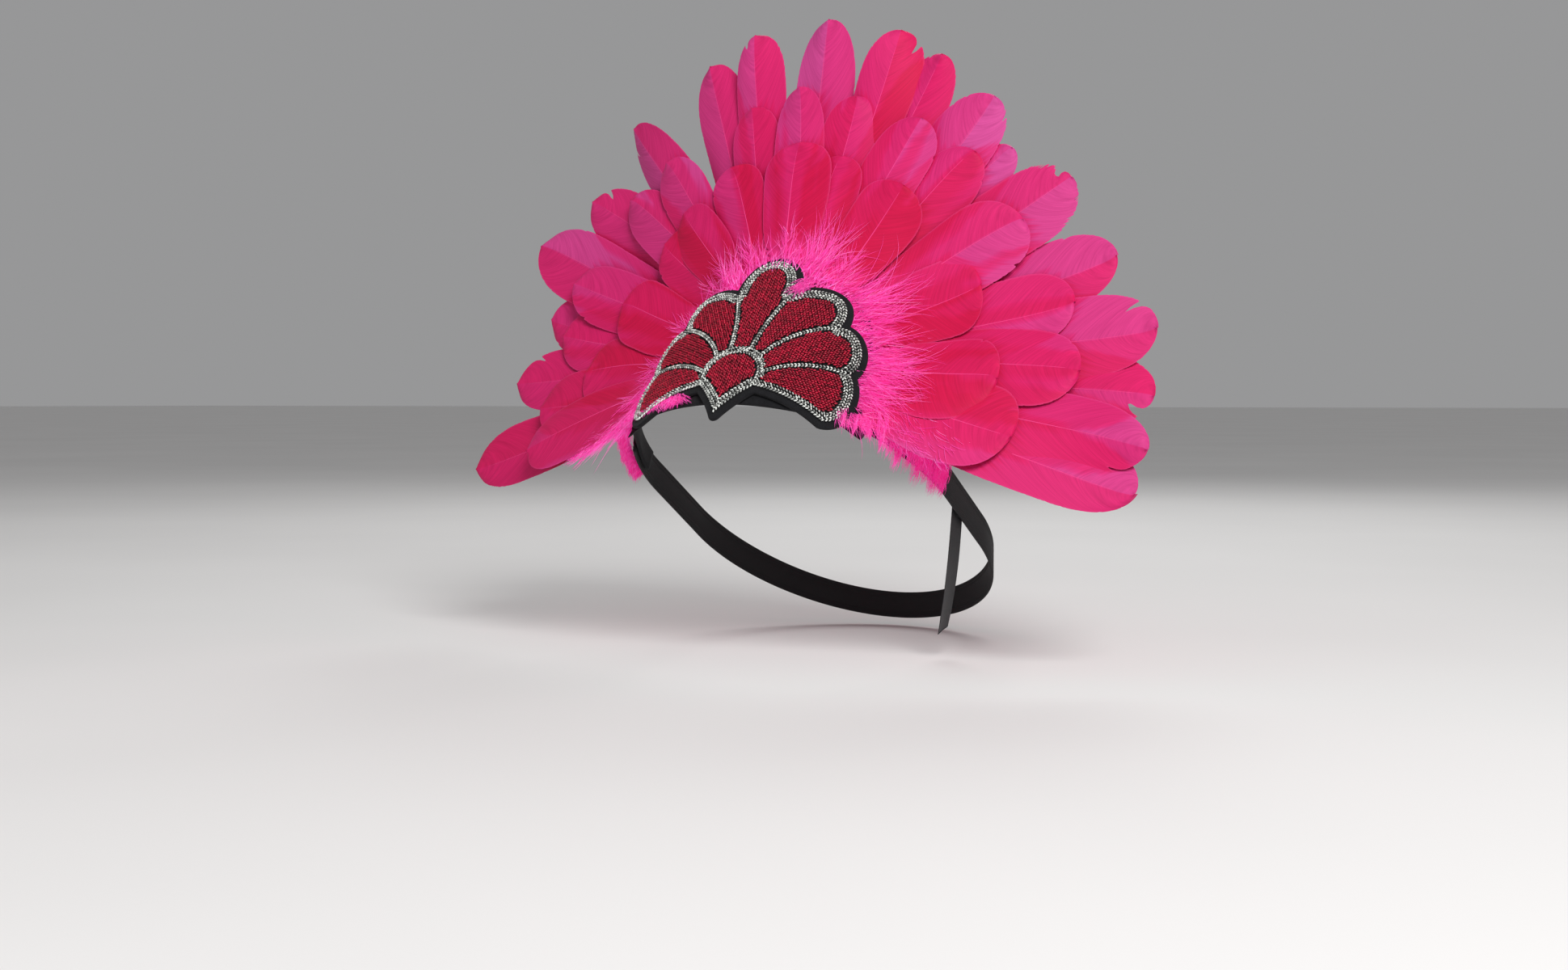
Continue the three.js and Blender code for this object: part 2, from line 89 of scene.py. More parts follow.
FAN_CENTRE_Z = 68.0
FAN_RIM = 40.0
FAN_RIM_GROWTH = 19.0
SIDE_START = math.radians(50)
LOW_START = math.radians(60)
LOW_END = math.radians(113)
RIM_Y = -38.0
RIM_SIDE_BACK = 5.5
RIM_LOW_FORWARD = 34.0
SWEEP = 0.34
SWEEP_LOSS = 0.22
SWEEP_CURL = 0.001
LAYER_STEP = 1.0
LAYER_SPREAD = 0.027
SPREAD_START = 14.0
PLATE_LAYER = 6.0
PLATE_CLOCK = math.radians(124)
PLATE_INSIDE_RIM = 16.0
PLATE_OUTSIDE_RIM = 5.0
QUILL_LENGTH = 9.0
ROOT_INSIDE_RIM = 11.0
VANE_BASE = 0.55
WIDEST = 0.7

# Columns: layer (0 is the front), clock in degrees, reach, width, lean in degrees.
FEATHERS = {
    "outer": [
        (5, -108, 181, 31, -4), (4, -95, 159, 31, -5), (5, -83, 150, 30, -8), (4, -71, 171, 35, -8),
        (5, -60, 154, 31, 10), (4, -44, 155, 27, 3), (5, -25, 153, 29, -6), (4, -14, 155, 27, 4),
        (5, 0, 155, 29, 4), (4, 15, 151, 28, 10), (5, 23, 146, 29, 12), (4, 37, 141, 32, 9),
        (5, 46, 129, 24, 10), (4, 58, 142, 35, 8), (5, 74, 147, 33, 8), (4, 87, 163, 36, 8),
        (5, 97, 166, 33, 7), (3, 104, 174, 30, 6), (4, 110, 176, 30, 1),
    ],
    "middle": [
        (2, -101, 135, 31, -6), (3, -86, 134, 31, -7), (2, -75, 136, 29, -2), (3, -54, 128, 28, 2),
        (2, -41, 121, 28, 0), (3, -16, 119, 26, 2), (2, -3, 122, 25, 6), (3, 11, 118, 26, 8),
        (2, 28, 117, 29, 10), (3, 42, 118, 29, 12), (2, 61, 117, 36, 12), (3, 81, 129, 33, 7),
        (2, 94, 136, 33, 4),
    ],
    "inner": [
        (0, -110, 135, 29, 4), (1, -95, 109, 32, -4), (0, -76, 98, 32, -7), (1, -55, 91, 30, 0),
        (0, -44, 91, 28, 4), (1, -24, 94, 29, 0), (0, 0, 95, 34, 3), (1, 13, 90, 27, 8),
        (0, 35, 89, 32, 8), (1, 72, 92, 36, 6), (0, 97, 104, 34, 4), (1, 108, 120, 34, 1),
    ],
}

# Feathers with a worn tip. Columns: notch side (1 is clockwise), notch place along the vane, notch depth
# as a share of the barb, fraying of the tip, twist and backward curl of the tip in millimetres.
WORN_TIPS = {
    "outer_01": (-1, 0.93, 0.10, 0.04, -2.5, 1.0),
    "outer_02": (1, 0.80, 0.30, 0.02, 1.5, 0.5),
    "outer_05": (1, 0.90, 0.55, 0.02, 2.0, 0.0),
    "outer_06": (-1, 0.86, 0.30, 0.03, -5.0, 1.5),
    "outer_08": (-1, 0.95, 0.50, 0.03, 2.0, 0.5),
    "outer_10": (1, 0.90, 0.45, 0.05, 6.0, 0.0),
    "outer_11": (-1, 0.94, 0.25, 0.04, -3.0, 1.5),
    "outer_12": (1, 0.88, 0.20, 0.16, 2.0, -0.5),
    "outer_14": (-1, 0.96, 0.70, 0.22, 2.5, 0.0),
    "outer_16": (-1, 0.86, 0.40, 0.03, 2.0, 1.5),
    "outer_17": (1, 0.93, 0.70, 0.03, -1.5, 0.5),
    "outer_18": (1, 0.80, 0.20, 0.03, 5.0, -2.5),
}

# Feathers painted deeper than their row, a painted shade for the shade and overlap that fall on them, as the
# number of feathers that would have to overlap for that colour.
DEEPER_PAINTED_SHADE = {
    "outer_01": 0.9, "outer_02": 0.7, "outer_03": 0.5, "outer_04": 0.4, "outer_05": 1.2, "outer_06": 0.4,
    "outer_07": 0.5, "outer_08": 0.8, "outer_10": 1.5, "outer_11": 1.2, "outer_15": 0.8, "outer_16": 0.8,
    "outer_17": 0.7, "outer_18": 0.9, "outer_19": 0.6, "middle_08": 0.3,
}

# Palmette drawn flat, its foot at y = 0. Petals on the wearer's right are mirrored.
PETALS = {
    "upper": dict(start=(5, 35), sideA=(6.2, 52), notchA=(13.4, 68.7), lobeA=(23, 75.5), lobeB=(44.5, 75),
                  notchB=(39.6, 54.9), sideB=(19, 47.5), end=(10.5, 32)),
    "mid": dict(start=(10.5, 32), sideA=(19, 47.5), notchA=(39.6, 54.9), lobeA=(49, 57.5), lobeB=(57, 41.4),
                notchB=(50.5, 32.4), sideB=(29.6, 33.2), end=(14.3, 23.6)),
    "lower": dict(start=(14.3, 23.6), sideA=(29.6, 33.2), notchA=(50.5, 32.4), lobeA=(57, 26.5),
                  lobeB=(57.5, 6.4), notchB=(46, 5), sideB=(31, 13), end=(13, 15.6)),
    "top": dict(start=(5, 35), sideA=(6.2, 52), notchA=(13.4, 68.7), lobeA=(15, 94.7), lobeB=(-15, 94.7),
                notchB=(-13.4, 68.7), sideB=(-6.2, 52), end=(-5, 35)),
}
HEART = dict(tip=(0, -0.5), side=(5, 8), corner=(13, 15.6), shoulderA=(17, 25.5), shoulderB=(9.5, 35.5),
             top=(0, 35.3))
LOBE_TRIM = 4.8
DIVIDER_TRIM = 1.5
ARCH_TRIM = 3.2
HEART_TRIM = 2.4
PALMETTE_CENTRE = np.array([0.0, 42.0])

# Tufts of longer down round the medallion. Columns: clock in degrees, how far the hairs turn from it,
# number of hairs, length.
TUFTS = [
    (-110, -18, 240, 15), (-94, -4, 110, 11), (-68, 4, 70, 9), (-40, 6, 150, 14), (-18, -4, 70, 9),
    (6, 4, 80, 10), (26, -4, 240, 17), (47, 2, 80, 10), (63, 7, 220, 19), (80, 4, 110, 12),
    (97, 2, 220, 18), (109, 6, 280, 14),
]

FRINGE_START = math.radians(53)
FRINGE_END = math.radians(84)
FRINGE_LIFT = -2.8
FRINGE_OUT = 0.6
LOCK_COUNT = 8
LOCK_LENGTH = 11.0
BEHIND_SHORTER = 0.7
BEHIND_DROP = 1.5
BEHIND_BACK = 3.6

# Other down: numbers of hairs, how much stouter they are, and places in millimetres and radians.
LOWEST_HAIRS_RIGHT = 1100
LOWEST_HAIRS_LEFT = 420
LOWEST_START = 58
LOWEST_RUN = 44
LOWEST_HEADING = 2.45
ARCH_HAIRS = 1500
ARCH_STOUTNESS = 1.5
ARCH_START = 0.34
ARCH_END = 0.98
SURROUND_STOUTNESS = 2.4
NOTCH_HAIRS = 130
NOTCH_TUFT = np.array([17.5, 76.0])
HAIR = np.linspace(0, 1, 7)[None]
FRINGE_HAIR = np.linspace(0, 1, 8)[None]

# Beadwork in millimetres, slants in radians.
ROW_PITCH = 1.08
ROWS_EACH_SIDE = 34
GRAINS_EACH_WAY = 45
GRAIN_LIFT = 1.2
GRAIN_SLANT = 0.45
GRAIN_JITTER = 0.06
PETAL_FOOT = np.array([0, 20])
LOBE_ROWS = (1.15, 3.4)
ARCH_ROWS = (1.1, 2.6)
HEART_ROW = 0.9
CHAIN_HALF = 0.52
CHAIN_REACH = 0.85
CHAIN_SLANT = 0.6
CHAIN_CLEARANCE = 0.86
EDGE_CLEARANCE = 0.3
TRIM_LIFT = 0.95
PETAL_GRAIN = 0.98
TRIM_GRAIN = np.array([0.88, 0.82, 1.1])
LATTICE = 0.55
PETAL_OVERHANG = 0.35
LATTICE_CLEARANCE = 0.95
LATTICE_SPACING = 1.0

# Colour of the vanes: how much deeper they are painted on the wearer's right, a painted shade in place of the
# shade
#  away from the key lamp, and how much paler towards the base. Then the tarnish of the trim.
RIGHT_PAINTED_SHADE = 0.8
RIGHT_PAINTED_SHADE_CLOCK = (0.9, 1.9)
BASE_PALING = 0.85
TARNISH = (0.3, 0.34, 0.29)

# Camera: where it stands and what it looks at, in millimetres.
CAMERA_AT = (409.0, -807.0, 45.9)
CAMERA_TARGET = (-15.8, -8.1, 6.4)
CAMERA_LENS = 44.54

# Stage in metres. Lamps have the columns place and size.
LAMPS = {"key": ((0.95, -0.95, 1.0), 0.8), "fill": ((-1.1, -0.9, 0.5), 1.0), "back": ((-0.3, 1.1, 1.1), 0.9)}
LAMP_TARGET = (0, 0, 0.08)
FLOOR_HALF = 30.0
AMBIENT_COLOUR = (0.86, 0.86, 0.87, 1)


def smooth(x, low, high):
    """Smooth step: 0 below low, 1 above high, 3t^2 - 2t^3 between."""
    t = np.clip((x - low) / (high - low), 0, 1)
    return t * t * (3 - 2 * t)


def unit(vectors):
    """Vectors divided by their lengths."""
    return vectors / np.maximum(np.linalg.norm(vectors, axis=-1, keepdims=True), 1e-9)


# Surfaces of the headdress

def on_medallion(x, y, out):
    """Bends a flat drawing round a cylinder that leans back: x becomes an arc of the cylinder, y runs up
    along its lean, and out is added to its radius."""
    turn = x / MEDALLION_RADIUS
    radius = MEDALLION_RADIUS + out
    bulge = radius * np.cos(turn) - MEDALLION_RADIUS
    back = MEDALLION_Y + y * math.sin(MEDALLION_LEAN) - bulge * math.cos(MEDALLION_LEAN)
    height = MEDALLION_Z + y * math.cos(MEDALLION_LEAN) + bulge * math.sin(MEDALLION_LEAN)
    return np.stack([radius * np.sin(turn), back, height], -1)


def lowness(clock, start):
    """How far a clock angle lies from start towards LOW_END: 0 above start, 1 at LOW_END."""
    return np.maximum(0, np.abs(clock) - start) / (LOW_END - start)


def fan_rim(clock):
    """Distance of the medallion's rim from the fan's centre: a circle that widens past SIDE_START."""
    return FAN_RIM + FAN_RIM_GROWTH * lowness(clock, SIDE_START) ** 1.5


def layer_gap(clock, reach):
    """Distance between two layers of feathers: one step at the rim, then growing evenly with reach."""
    return LAYER_STEP + LAYER_SPREAD * np.maximum(0, reach - fan_rim(clock) - SPREAD_START)


def on_fan(layer, x, z, depth):
    """A point of the fan above (x, z) of the front view: its y is the rim's depth, plus the sweep past the
    rim less a little curl, plus the layer times the gap, plus depth."""
    clock = np.arctan2(x, z)
    reach = np.hypot(x, z)
    forward = RIM_LOW_FORWARD * lowness(clock, LOW_START) ** 2.1
    rim = RIM_Y + RIM_SIDE_BACK * np.sin(clock) ** 2 - forward
    sweep = SWEEP - SWEEP_LOSS * lowness(clock, SIDE_START) ** 1.5
    past = reach - fan_rim(clock)
    y = rim + sweep * past - SWEEP_CURL * past * np.abs(past) + layer * layer_gap(clock, reach) + depth
    return np.stack(np.broadcast_arrays(x, y, FAN_CENTRE_Z + z), -1)


def band_point(turn):
    """The rim's plane cut by the forehead cone, but no further out than the strap's own circle."""
    at_rim = HEAD_RADIUS - CONE_TAPER * (-RIM_SLOPE * HEAD_FRONT_Y - RIM_DROP - CONE_Z)
    radius = np.minimum(HEAD_RADIUS, at_rim / (1 + CONE_TAPER * RIM_SLOPE * np.cos(turn)))
    y = HEAD_FRONT_Y - radius * np.cos(turn)
    return np.stack([radius * np.sin(turn), y, -RIM_SLOPE * y - RIM_DROP], -1)


def on_band(turn, across, out):
    """A point of the forehead band: across lies in its height, which leans with the cone near the middle and
    stands upright at the strap, and out lies along the normal away from the hollow."""
    nudge = 0.01
    turn, across, out = np.broadcast_arrays(turn, across, out)
    along = unit(band_point(turn + nudge) - band_point(turn - nudge))
    away = np.stack([np.sin(turn), -np.cos(turn), np.zeros_like(turn)], -1)
    lean = CONE_LEAN * (1 - smooth(np.abs(turn), LEAN_END, STRAP_START))
    rise = np.array([0, 0, 1]) * np.cos(lean)[..., None] - away * np.sin(lean)[..., None]
    rise = unit(rise - along * np.sum(rise * along, -1, keepdims=True))
    outwards = np.cross(along, rise)
    outwards = outwards * np.sign(np.sum(outwards * away, -1, keepdims=True))
    return band_point(turn) + rise * across[..., None] + outwards * out[..., None]


# Meshes

def grid_quads(rows, columns):
    """Quads of a grid of points stored row by row, whose last column joins the first."""
    i, j = np.meshgrid(np.arange(rows - 1), np.arange(columns), indexing="ij")
    k = (j + 1) % columns
    corners = [i * columns + j, i * columns + k, (i + 1) * columns + k, (i + 1) * columns + j]
    return np.stack(corners, -1).reshape(-1, 4)


def sweep_surface(rings):
    """A closed body through rings of points (ring, point, xyz): quads between neighbouring rings, and a fan
    of triangles to the middle of the first and last ring. Returns the points and the faces, turned
    outwards."""
    count, size = rings.shape[:2]
    ends = rings[[0, -1]].mean(1)
    points = np.concatenate([rings.reshape(-1, 3), ends])
    quads = grid_quads(count, size)
    j = np.arange(size)
    k = (j + 1) % size
    last = (count - 1) * size
    first_fan = np.stack([k, j, np.full(size, count * size)], -1)
    last_fan = np.stack([last + j, last + k, np.full(size, count * size + 1)], -1)
    triangles = np.concatenate([first_fan, last_fan])
    parts = np.concatenate([quads[:, [0, 1, 2]], quads[:, [0, 2, 3]], triangles])
    corners = points[parts] - points.mean(0)
    if np.sum(corners[:, 0] * np.cross(corners[:, 1], corners[:, 2])) < 0:
        quads, triangles = quads[:, ::-1], triangles[:, ::-1]
    return points, [quads, triangles]


def joined(pieces):
    """Several (points, faces) joined into one, the face numbers moved past the points before them."""
    points, quads, triangles, start = [], [], [], 0
    for piece_points, faces in pieces:
        points.append(piece_points)
        quads += [face + start for face in faces if face.shape[1] == 4]
        triangles += [face + start for face in faces if face.shape[1] == 3]
        start += len(piece_points)
    faces = [np.concatenate(group) for group in (quads, triangles) if group]
    return np.concatenate(points), faces


def make_piece(name, points, faces, material, replaced=(), uv=None, values=None):
    """An object at the origin from points in millimetres and arrays of quads and triangles, smooth shaded,
    with a UV map and named values per point. It rides on the one body."""
    mesh = bpy.data.meshes.new(name)
    loops = np.concatenate([face.ravel() for face in faces]).astype(np.int32)
    sizes = np.concatenate([np.full(len(face), face.shape[1]) for face in faces])
    mesh.vertices.add(len(points))
    mesh.vertices.foreach_set("co", (points * MM).astype(np.float32).ravel())
    mesh.loops.add(len(loops))
    mesh.loops.foreach_set("vertex_index", loops)
    mesh.polygons.add(len(sizes))
    mesh.polygons.foreach_set("loop_start", (np.cumsum(sizes) - sizes).astype(np.int32))
    mesh.polygons.foreach_set("use_smooth", np.ones(len(sizes), bool))
    mesh.update(calc_edges=True)
    if uv is not None:
        mesh.uv_layers.new(name="surface").data.foreach_set("uv", uv[loops].astype(np.float32).ravel())
    for key, value in (values or {}).items():
        mesh.attributes.new(key, "FLOAT", "POINT").data.foreach_set("value", value.astype(np.float32))
    mesh.materials.append(material)
    piece = bpy.data.objects.new(name, mesh)
    bpy.context.scene.collection.objects.link(piece)
    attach(piece, "root")
    if replaced:
        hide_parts(*replaced)
    return piece


def rounded_section(count, squareness):
    """Points of a closed section from -1 to 1 both ways: a circle whose cosine and sine are raised to a power
    below one, which squares it."""
    angle = np.linspace(0, 2 * math.pi, count, endpoint=False)
    power = lambda wave: np.sign(wave) * np.abs(wave) ** squareness
    return power(np.cos(angle)), power(np.sin(angle))


def strands(paths, radius, shades):
    """Fine tapered hairs along paths (hair, point, xyz): three-sided rings between two end points, each ring
    square to the path, thickest a third of the way along. Returns points, faces and each point's shade."""
    hairs, count = paths.shape[:2]
    askew = np.array([0.3, 0.8, 0.52])
    along = unit(np.gradient(paths, axis=1))
    side = unit(np.cross(along, askew))
    other = np.cross(along, side)
    t = np.linspace(0, 1, count)[1:-1]
    thick = radius * np.minimum(1, 0.55 + 1.5 * t) * (1 - t ** 2.5 * 0.75)
    angle = np.linspace(0, 2 * math.pi, 3, endpoint=False)
    ring = side[:, 1:-1, None] * np.cos(angle)[:, None] + other[:, 1:-1, None] * np.sin(angle)[:, None]
    rings = paths[:, 1:-1, None] + ring * thick[:, None, None]
    inner = count - 2
    size = inner * 3 + 2
    points = np.concatenate([rings.reshape(hairs, -1, 3), paths[:, :1], paths[:, -1:]], 1)
    start = (np.arange(hairs) * size)[:, None, None]
    quads = (grid_quads(inner, 3)[None] + start).reshape(-1, 4)
    j = np.arange(3)
    k = (j + 1) % 3
    first = np.stack([k, j, np.full(3, inner * 3)], -1)
    last = np.stack([(inner - 1) * 3 + j, (inner - 1) * 3 + k, np.full(3, inner * 3 + 1)], -1)
    triangles = (np.concatenate([first, last])[None] + start).reshape(-1, 3)
    return points.reshape(-1, 3), [quads, triangles], np.repeat(shades, size)


# Materials

class Finish:
    """Builds one procedural material: a Principled surface and the nodes that feed it."""

    def __init__(self, name, **sockets):
        self.material = bpy.data.materials.new(name)
        self.material.use_nodes = True
        self.tree = self.material.node_tree
        self.surface = self.tree.nodes["Principled BSDF"]
        for socket, value in sockets.items():
            self.surface.inputs[socket.replace("_", " ")].default_value = value

    def node(self, kind, settings=None, **inputs):
        """A new node with its settings, and its inputs set to values or linked from sockets."""
        made = self.tree.nodes.new(kind)
        for key, value in (settings or {}).items():
            setattr(made, key, value)
        for key, value in inputs.items():
            name = key.replace("_", " ")
            socket = made.inputs[int(key[1:])] if key[0] == "i" and key[1:].isdigit() else made.inputs[name]
            if isinstance(value, bpy.types.NodeSocket):
                self.tree.links.new(value, socket)
            else:
                socket.default_value = value
        return made

    def math(self, operation, first, second=0.0):
        return self.node("ShaderNodeMath", {"operation": operation}, i0=first, i1=second).outputs[0]

    def blend(self, first, share, second):
        """Two values added: the first times its share, the second times the rest."""
        scaled = self.math("MULTIPLY", first, share)
        return self.math("ADD", scaled, self.math("MULTIPLY", second, 1 - share))

    def value(self, name):
        return self.node("ShaderNodeAttribute", {"attribute_name": name}).outputs["Fac"]

    def ramp(self, factor, stops):
        made = self.node("ShaderNodeValToRGB", None, Fac=factor)
        elements = made.color_ramp.elements
        while len(elements) < len(stops):
            elements.new(1.0)
        for element, (position, colour) in zip(elements, stops):
            element.position = position
            element.color = (*colour, 1.0)
        return made.outputs["Color"]

    def mix(self, factor, first, second, blend="MIX"):
        made = self.node("ShaderNodeMix", {"data_type": "RGBA", "blend_type": blend})
        for index, value in ((0, factor), (6, first), (7, second)):
            if isinstance(value, bpy.types.NodeSocket):
                self.tree.links.new(value, made.inputs[index])
            else:
                made.inputs[index].default_value = value if index == 0 else (*value, 1.0)
        return made.outputs[2]

    def stretched(self, source, scale):
        coordinates = self.node("ShaderNodeTexCoord").outputs[source]
        return self.node("ShaderNodeMapping", None, Vector=coordinates, Scale=scale).outputs[0]

    def noise(self, vector, scale=1.0, detail=2.0):
        return self.node("ShaderNodeTexNoise", None, Vector=vector, Scale=scale, Detail=detail).outputs["Fac"]

    def bump(self, height, distance, strength=1.0):
        made = self.node("ShaderNodeBump", None, Height=height, Distance=distance, Strength=strength)
        self.feed("Normal", made.outputs[0])

    def feed(self, socket, source):
        self.tree.links.new(source, self.surface.inputs[socket])


def shaded(colour, factor):
    """A colour times a factor, no brighter than white."""
    return tuple(min(1.0, factor * channel) for channel in colour)


def shade_stops(colour, *stops):
    """Stops of a ramp in shades of one colour, from pairs of place and factor."""
    return [(place, shaded(colour, factor)) for place, factor in stops]


def feather_finish(settings):
    """Feather: painted shade by how many feathers overlap there, paler where one feather shows by itself and
    deeper where more lie behind, in place of light through the vanes; streaked along the barbs, with painted
    light along the vane's thin edge, and a pale shaft; fine ridges along the barbs."""
    finish = Finish("dyed_feather", Roughness=0.6, Specular_IOR_Level=0.15, Sheen_Weight=0.05,
                    Sheen_Roughness=0.4)
    finish.surface.inputs["Sheen Tint"].default_value = (1.0, 0.3, 0.6, 1)
    # Painted shade: the ramp runs from the paler colour where one feather shows by itself to the deepest where
    # many overlap, standing in for light through the vanes and shade behind them.
    tone = finish.math("DIVIDE", finish.value("tone"), 4.0)
    colour = finish.ramp(tone, [(0.0, settings.single_colour), (0.25, settings.double_colour),
                                (0.5, settings.triple_colour), (1.0, settings.deep_colour)])
    streak = finish.noise(finish.stretched("UV", (420, 3, 1)), 1.0, 3.0)
    broad = finish.noise(finish.stretched("UV", (110, 2, 1)), 1.0, 2.0)
    stops = [(0.32, (0.74, 0.60, 0.70)), (0.66, (1.0, 1.0, 1.0))]
    shade = finish.ramp(finish.blend(streak, 0.5, broad), stops)
    colour = finish.mix(1.0, colour, shade, "MULTIPLY")
    coordinates = finish.node("ShaderNodeTexCoord")
    across = finish.node("ShaderNodeSeparateXYZ", None, Vector=coordinates.outputs["UV"])
    edge = finish.math("ABSOLUTE", finish.math("SUBTRACT", across.outputs["Y"], 0.5))
    # Painted light: the colour turns paler over the last sliver of the vane's width, as light shines through
    # its thin edge.
    thin = finish.node("ShaderNodeMapRange", {"interpolation_type": "SMOOTHSTEP"}, Value=edge)
    for name, number in (("From Min", 0.47), ("From Max", 0.5), ("To Min", 0.0), ("To Max", 0.2)):
        thin.inputs[name].default_value = number
    colour = finish.mix(thin.outputs[0], colour, settings.edge_light_colour)
    colour = finish.mix(finish.value("base"), colour, settings.base_colour)
    colour = finish.mix(finish.value("shaft"), colour, settings.shaft_colour)
    finish.feed("Base Color", colour)
    finish.bump(streak, 0.00006, 0.5)
    return finish.material


def down_finish(settings):
    """Down: each hair has its own shade between hot pink and pale pink, and painted light: an emission that
    makes the down shine as if lit from within, in place of the light that scatters from hair to hair inside a
    tuft."""
    # Painted light: the emission colour and strength make the down shine though it is no lamp.
    finish = Finish("dyed_down", Roughness=0.7, Specular_IOR_Level=0.2, Sheen_Weight=0.6, Sheen_Roughness=0.5,
                    Emission_Color=(*settings.painted_glow_colour, 1.0), Emission_Strength=settings.painted_glow)
    finish.surface.inputs["Sheen Tint"].default_value = (1.0, 0.22, 0.62, 1)
    colour = finish.ramp(finish.value("shade"), [(0.0, settings.dark_colour), (0.5, settings.colour),
                                                 (1.0, settings.pale_colour)])
    mottle = finish.noise(finish.stretched("Object", (900, 900, 900)))
    dapple = finish.ramp(mottle, [(0.3, (0.6, 0.4, 0.5)), (0.7, (1, 1, 1))])
    colour = finish.mix(0.3, colour, dapple, "MULTIPLY")
    finish.feed("Base Color", colour)
    return finish.material


def crimson_finish(settings):
    """Crimson grains: glossy, each a little darker or brighter, with a faint mottle."""
    finish = Finish("crimson_beads", Roughness=0.35, Specular_IOR_Level=0.35, Coat_Weight=0.1,
                    Coat_Roughness=0.15)
    mottle = finish.noise(finish.stretched("Object", (1500, 1500, 1500)))
    shade = finish.blend(finish.value("shade"), 0.75, mottle)
    stops = shade_stops(settings.crimson, (0.0, 0.4), (0.55, 1.0), (1.0, 1.6))
    finish.feed("Base Color", finish.ramp(shade, stops))
    return finish.material


def silver_finish(settings):
    """Silver grains: metal, each grain's colour spread at random from dark to bright silver, partly real
    variation and partly painted glints and dark reflections, with tarnish in patches.
    """
    finish = Finish("silver_beads", Metallic=0.3, Specular_IOR_Level=0.7)
    tarnish = finish.noise(finish.stretched("Object", (260, 260, 260)), 1.0, 3.0)
    # Painted reflection: the spread from dark to bright grains stands in for the glints and dark reflections
    # of metal beads, beside their own variation.
    stops = shade_stops(settings.silver, (0.0, 0.18), (0.35, 0.45), (0.7, 1.0))
    colour = finish.ramp(finish.value("shade"), stops)
    patches = finish.ramp(tarnish, [(0.55, (0, 0, 0)), (0.8, (0.5, 0.5, 0.5))])
    colour = finish.mix(patches, colour, TARNISH)
    finish.feed("Base Color", colour)
    finish.feed("Roughness", finish.math("ADD", finish.math("MULTIPLY", tarnish, 0.3), 0.18))
    return finish.material


def felt_finish(settings):
    """Felt: matted fibres, so short bent streaks of lighter and darker black, and a soft uneven surface."""
    finish = Finish("black_felt", Roughness=0.95, Specular_IOR_Level=0.15, Sheen_Weight=0.04,
                    Sheen_Roughness=0.6)
    place = finish.stretched("Object", (1, 1, 1))
    fibre = finish.noise(place, 2200.0, 3.0)
    matting = finish.noise(place, 240.0, 2.0)
    mixed = finish.blend(fibre, 0.6, matting)
    finish.feed("Base Color", finish.ramp(mixed, shade_stops(settings.colour, (0.35, 1.0), (0.75, 2.5))))
    finish.bump(mixed, 0.0005, 0.5)
    return finish.material


def woven_finish(name, colour, roughness, pitch):
    """Woven elastic or ribbon: warp and weft threads over and under each other, following the piece."""
    finish = Finish(name, Roughness=roughness, Specular_IOR_Level=0.3, Sheen_Weight=0.05, Sheen_Roughness=0.4)
    weave = finish.stretched("UV", (1 / pitch, 1 / pitch, 1))
    threads = finish.node("ShaderNodeTexBrick", {"offset": 0.5, "squash": 1.0}, Vector=weave, Scale=1.0,
                          Mortar_Size=0.12, Brick_Width=1.0, Row_Height=0.5, Mortar_Smooth=0.6)
    dust = finish.noise(finish.stretched("Object", (500, 500, 500)), 1.0, 3.0)
    base = finish.mix(threads.outputs["Fac"], shaded(colour, 2.2), shaded(colour, 0.4))
    finish.feed("Base Color", finish.mix(dust, base, tuple(colour)))
    finish.bump(threads.outputs["Fac"], -0.00012, 0.5)
    return finish.material


# Palmette

def bezier(points, count):
    """Points along a quadratic or cubic curve: the control points weighted by binomial terms in t."""
    control = np.array(points, float)
    t = np.linspace(0, 1, count)[:, None]
    degree = len(control) - 1
    weights = [math.comb(degree, i) * t ** i * (1 - t) ** (degree - i) for i in range(degree + 1)]
    return sum(weight * point for weight, point in zip(weights, control))


def curve(shape, *names, count=24, flip=False):
    points = bezier([shape[name] for name in names], count)
    return points * [-1, 1] if flip else points


def petal_edge(shape, flip, side_trim):
    """A petal's edge as points and the trim's width at each: side, lobe, side and the short foot."""
    runs = [(curve(shape, "start", "sideA", "notchA", flip=flip), DIVIDER_TRIM),
            (curve(shape, "notchA", "lobeA", "lobeB", "notchB", count=48, flip=flip), LOBE_TRIM),
            (curve(shape, "notchB", "sideB", "end", flip=flip), side_trim),
            (curve(shape, "end", "start", count=4, flip=flip), DIVIDER_TRIM)]
    points = np.concatenate([run[:-1] for run, _ in runs])
    trims = np.concatenate([np.full(len(run) - 1, trim) for run, trim in runs])
    return points, trims


def heart_edge():
    side = curve(HEART, "tip", "side", "corner")
    shoulder = curve(HEART, "corner", "shoulderA", "shoulderB", "top")
    half = np.concatenate([side[:-1], shoulder[:-1]])
    trims = np.concatenate([np.full(len(side) - 1, LOBE_TRIM), np.full(len(shoulder) - 1, HEART_TRIM)])
    mirrored = np.concatenate([half[1:], shoulder[-1:]])[::-1] * [-1, 1]
    return np.concatenate([half, mirrored]), np.concatenate([trims, trims[::-1]])


def outline_runs():
    """The palmette's edge from the heart's tip round the wearer's left to the top, and mirrored back, as runs
    of points with the trim's width."""
    left = [(curve(HEART, "tip", "side", "corner"), LOBE_TRIM),
            (curve(PETALS["lower"], "end", "sideB", "notchB"), ARCH_TRIM)]
    left += [(curve(PETALS[name], "notchB", "lobeB", "lobeA", "notchA", count=40), LOBE_TRIM)
             for name in ("lower", "mid", "upper")]
    top = [(curve(PETALS["top"], "notchA", "lobeA", "lobeB", "notchB", count=48), LOBE_TRIM)]
    right = [(run[::-1] * [-1, 1], trim) for run, trim in reversed(left)]
    return left + top + right


